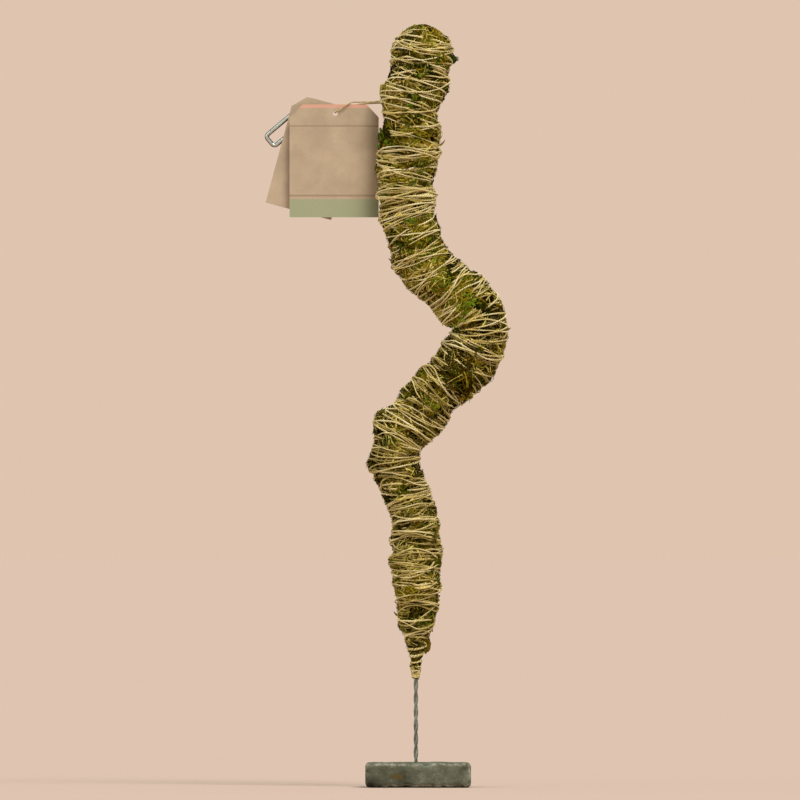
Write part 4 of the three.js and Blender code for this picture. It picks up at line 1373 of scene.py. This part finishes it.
# Cards: kraft board with cut corners and a punched hole, and on one of them printed bands from top to bottom
KRAFT = colour(186, 168, 142)
KRAFT_DARK = colour(172, 154, 130)
BAND_EDGE = 0.002
PRINT_BANDS = [
    (0.840, 1.01, colour(150, 160, 128)), (0.800, 0.816, colour(150, 130, 106)),
    (0.185, 0.197, colour(150, 130, 106)), (-0.01, 0.030, colour(214, 160, 138)),
]


def card_look(name, bands):
    look = Look(name, Roughness=0.78, Specular_IOR_Level=0.2)
    fibre = look.noise(520.0, 5.0, 0.7)
    tone = look.mix(look.span(look.noise(40.0, 3.0), 0.35, 0.65), KRAFT, KRAFT_DARK)
    tone = look.mix(look.span(fibre, 0.58, 0.75, 0.0, 0.5), tone, colour(140, 116, 84))
    for top, bottom, shade in bands:
        ink = look.span(look.noise(1500.0, 3.0), 0.3, 0.6, 0.72, 0.95)
        down = look.value("down")
        below = look.span(down, top - BAND_EDGE, top + BAND_EDGE)
        above = look.span(down, bottom + BAND_EDGE, bottom - BAND_EDGE)
        tone = look.mix(look.times(below, above, look.value("front"), ink), tone, shade)
    look.bump(fibre, 0.00012)
    return look.paint(tone)


def card_sheet(width, cut, holes):
    """Spots and faces of a flat card with its holes, across from its left edge and up from its hole."""
    base = PUNCH_BELOW_TOP - CARD_HEIGHT
    columns = np.linspace(0, width, max(2, round(width / CARD_GRID)) + 1)
    left, right = (PUNCH_BELOW_TOP - cut(d) for d in (0.0, width))
    outline = [(d, base) for d in columns]
    outline += [(width, z) for z in np.linspace(base, right, CARD_EDGE_STEPS)[1:-1]]
    outline += [(d, PUNCH_BELOW_TOP - cut(d)) for d in columns[::-1]]
    outline += [(0.0, z) for z in np.linspace(left, base, CARD_EDGE_STEPS)[1:-1]]
    turn = np.arange(PUNCH_SIDES) * math.tau / PUNCH_SIDES
    rims = [list(zip(hole + PUNCH / 2 * np.cos(turn), PUNCH / 2 * np.sin(turn))) for hole in holes]
    flat = []
    edges = []
    for loop in [outline, *rims]:
        edges += [(len(flat) + i, len(flat) + (i + 1) % len(loop)) for i in range(len(loop))]
        flat += loop
    for d in np.arange(CARD_MARGIN, width - CARD_MARGIN, CARD_GRID):
        for z in np.arange(base + CARD_MARGIN, PUNCH_BELOW_TOP - cut(d) - CARD_MARGIN, CARD_GRID):
            if all(math.hypot(d - hole, z) > PUNCH / 2 + CARD_MARGIN for hole in holes):
                flat.append((d, z))
    found = delaunay_2d_cdt([Vector(spot) for spot in flat], edges, [], 1, CARD_WELD)
    spots = np.array([tuple(spot) for spot in found[0]])
    faces = np.array(found[2])
    middles = spots[faces].mean(1)
    kept = [np.hypot(middles[:, 0] - hole, middles[:, 1]) > PUNCH_INSIDE for hole in holes]
    return spots, faces[np.all(kept, axis=0)]


def add_card(name, look, body, slot, width, cut, holes, bend, lean, depth):
    """A thin card, bent across its width, in place on the string with its first hole."""
    spots, faces = card_sheet(width, cut, holes)
    across, back, slope = bend(spots[:, 0])
    sheets = []
    for side in (0.5, -0.5):
        x = across - holes[0] + side * CARD_THICK * np.sin(slope)
        y = depth + back - side * CARD_THICK * np.cos(slope)
        right, up = swung(x, spots[:, 1], lean)
        sheets.append(np.stack([PUNCH_AT[0] + right, y, PUNCH_AT[1] + up], -1))
    count = len(spots)
    known = {(int(a), int(b)) for face in faces for a, b in zip(face, np.roll(face, -1))}
    rims = sorted([b, a, a + count, b + count] for a, b in known if (b, a) not in known)
    values = {
        "down": np.tile((PUNCH_BELOW_TOP - spots[:, 1]) / CARD_HEIGHT, 2),
        "front": np.repeat([1.0, 0.0], count),
    }
    faces = [faces, faces[:, ::-1] + count, np.array(rims)]
    attach(make_piece(name, np.concatenate(sheets), faces, look, flat=True, **values), body, slot, body)


def corner_cut(across, width):
    return max(0.0, CARD_CHAMFER - across, CARD_CHAMFER - (width - across))


def tag_cut(d):
    return corner_cut(d, TAG_WIDTH)


def tag_bend(d):
    turn = np.maximum(0, d - TAG_CURL_START) / TAG_CURL
    across = np.minimum(d, TAG_CURL_START) + TAG_CURL * np.sin(turn)
    return across, TAG_CURL * (1 - np.cos(turn)), turn


def leaf_bend(d):
    turn = np.clip((d - LEAF_FLAT) / LEAF_FOLD, 0, math.pi)
    beyond = np.maximum(0, d - LEAF_FLAT - math.pi * LEAF_FOLD)
    across = np.minimum(d, LEAF_FLAT) + LEAF_FOLD * np.sin(turn) - beyond
    return across, LEAF_FOLD * (1 - np.cos(turn)), turn


def leaf_cut(d):
    return corner_cut(float(leaf_bend(np.array(d))[0]), LEAF_WIDTH)


add_card(
    "hang_tag", card_look("printed_kraft", PRINT_BANDS), "front_tag", "tag_card",
    TAG_WIDTH, tag_cut, [TAG_LEFT], tag_bend, 0.0, TAG_DEPTH,
)
add_card(
    "rear_card", card_look("plain_kraft", []), "folded_card", "folded_card",
    LEAF_WHOLE, leaf_cut, [LEAF_LEFT, LEAF_WHOLE - LEAF_LEFT], leaf_bend, LEAF_LEAN, LEAF_DEPTH,
)


# Pin: a bright steel U between the leaves of the card, with a painted reflection that is bright where the rod
# faces front or back and dark on its other sides
def pin_look():
    look = Look("bright_steel", Metallic=1.0, Roughness=0.24)
    scratch = look.noise(700.0, 4.0, 0.65)
    # Painted reflection: the face value, high where the rod faces front or back, picks the colour from dark
    # to bright
    share = look.math("ADD", look.value("face"), look.span(scratch, 0.3, 0.7, -0.12, 0.12), True)
    stops = [(0.35, colour(44, 56, 48)), (0.72, colour(98, 112, 104)), (0.97, colour(212, 220, 212))]
    look.bump(scratch, 0.00002)
    return look.paint(look.ramp(share, stops), look.span(scratch, 0.3, 0.7, 0.16, 0.28))


def pin_line():
    """The middle of the pin's rod, down one leg, round its crown and up the other."""
    half = PIN_SPAN / 2
    turn = np.linspace(0, math.pi / 2, PIN_BOW_STEPS)
    leg = np.linspace(PIN_LEG, PIN_CORNER, PIN_LEG_STEPS)[:-1]
    down = np.stack([np.full(len(leg), half), leg], -1)
    bow = np.stack([half - PIN_CORNER * (1 - np.cos(turn)), PIN_CORNER * (1 - np.sin(turn))], -1)
    one = np.concatenate([down, bow])
    flat = np.concatenate([one, one[::-1] * np.array([-1.0, 1.0])])
    x, z = swung(*flat.T, math.pi / 2 - PIN_RISE)
    return np.stack([x, np.zeros(len(x)), z], -1) + np.array(PIN_CROWN)


rod = pin_line()
rod_far = lengths(rod)
rod_end = np.clip(np.minimum(rod_far, rod_far[-1] - rod_far) / PIN_TIP, 0, 1)
radius = PIN_ROD / 2 * (PIN_POINT + (1 - PIN_POINT) * rod_end)
points, faces, _ = tube(rod, *carried_sides(rod), radius, PIN_SIDES)
# Painted reflection: how much each point of the rod faces front or back
outward = (points - np.repeat(rod, PIN_SIDES, 0)) / (PIN_ROD / 2)
pin = make_piece("steel_pin", points, faces, pin_look(), face=np.abs(outward[:, 1]))
attach(pin, "u_pin", "pin", "u_pin")
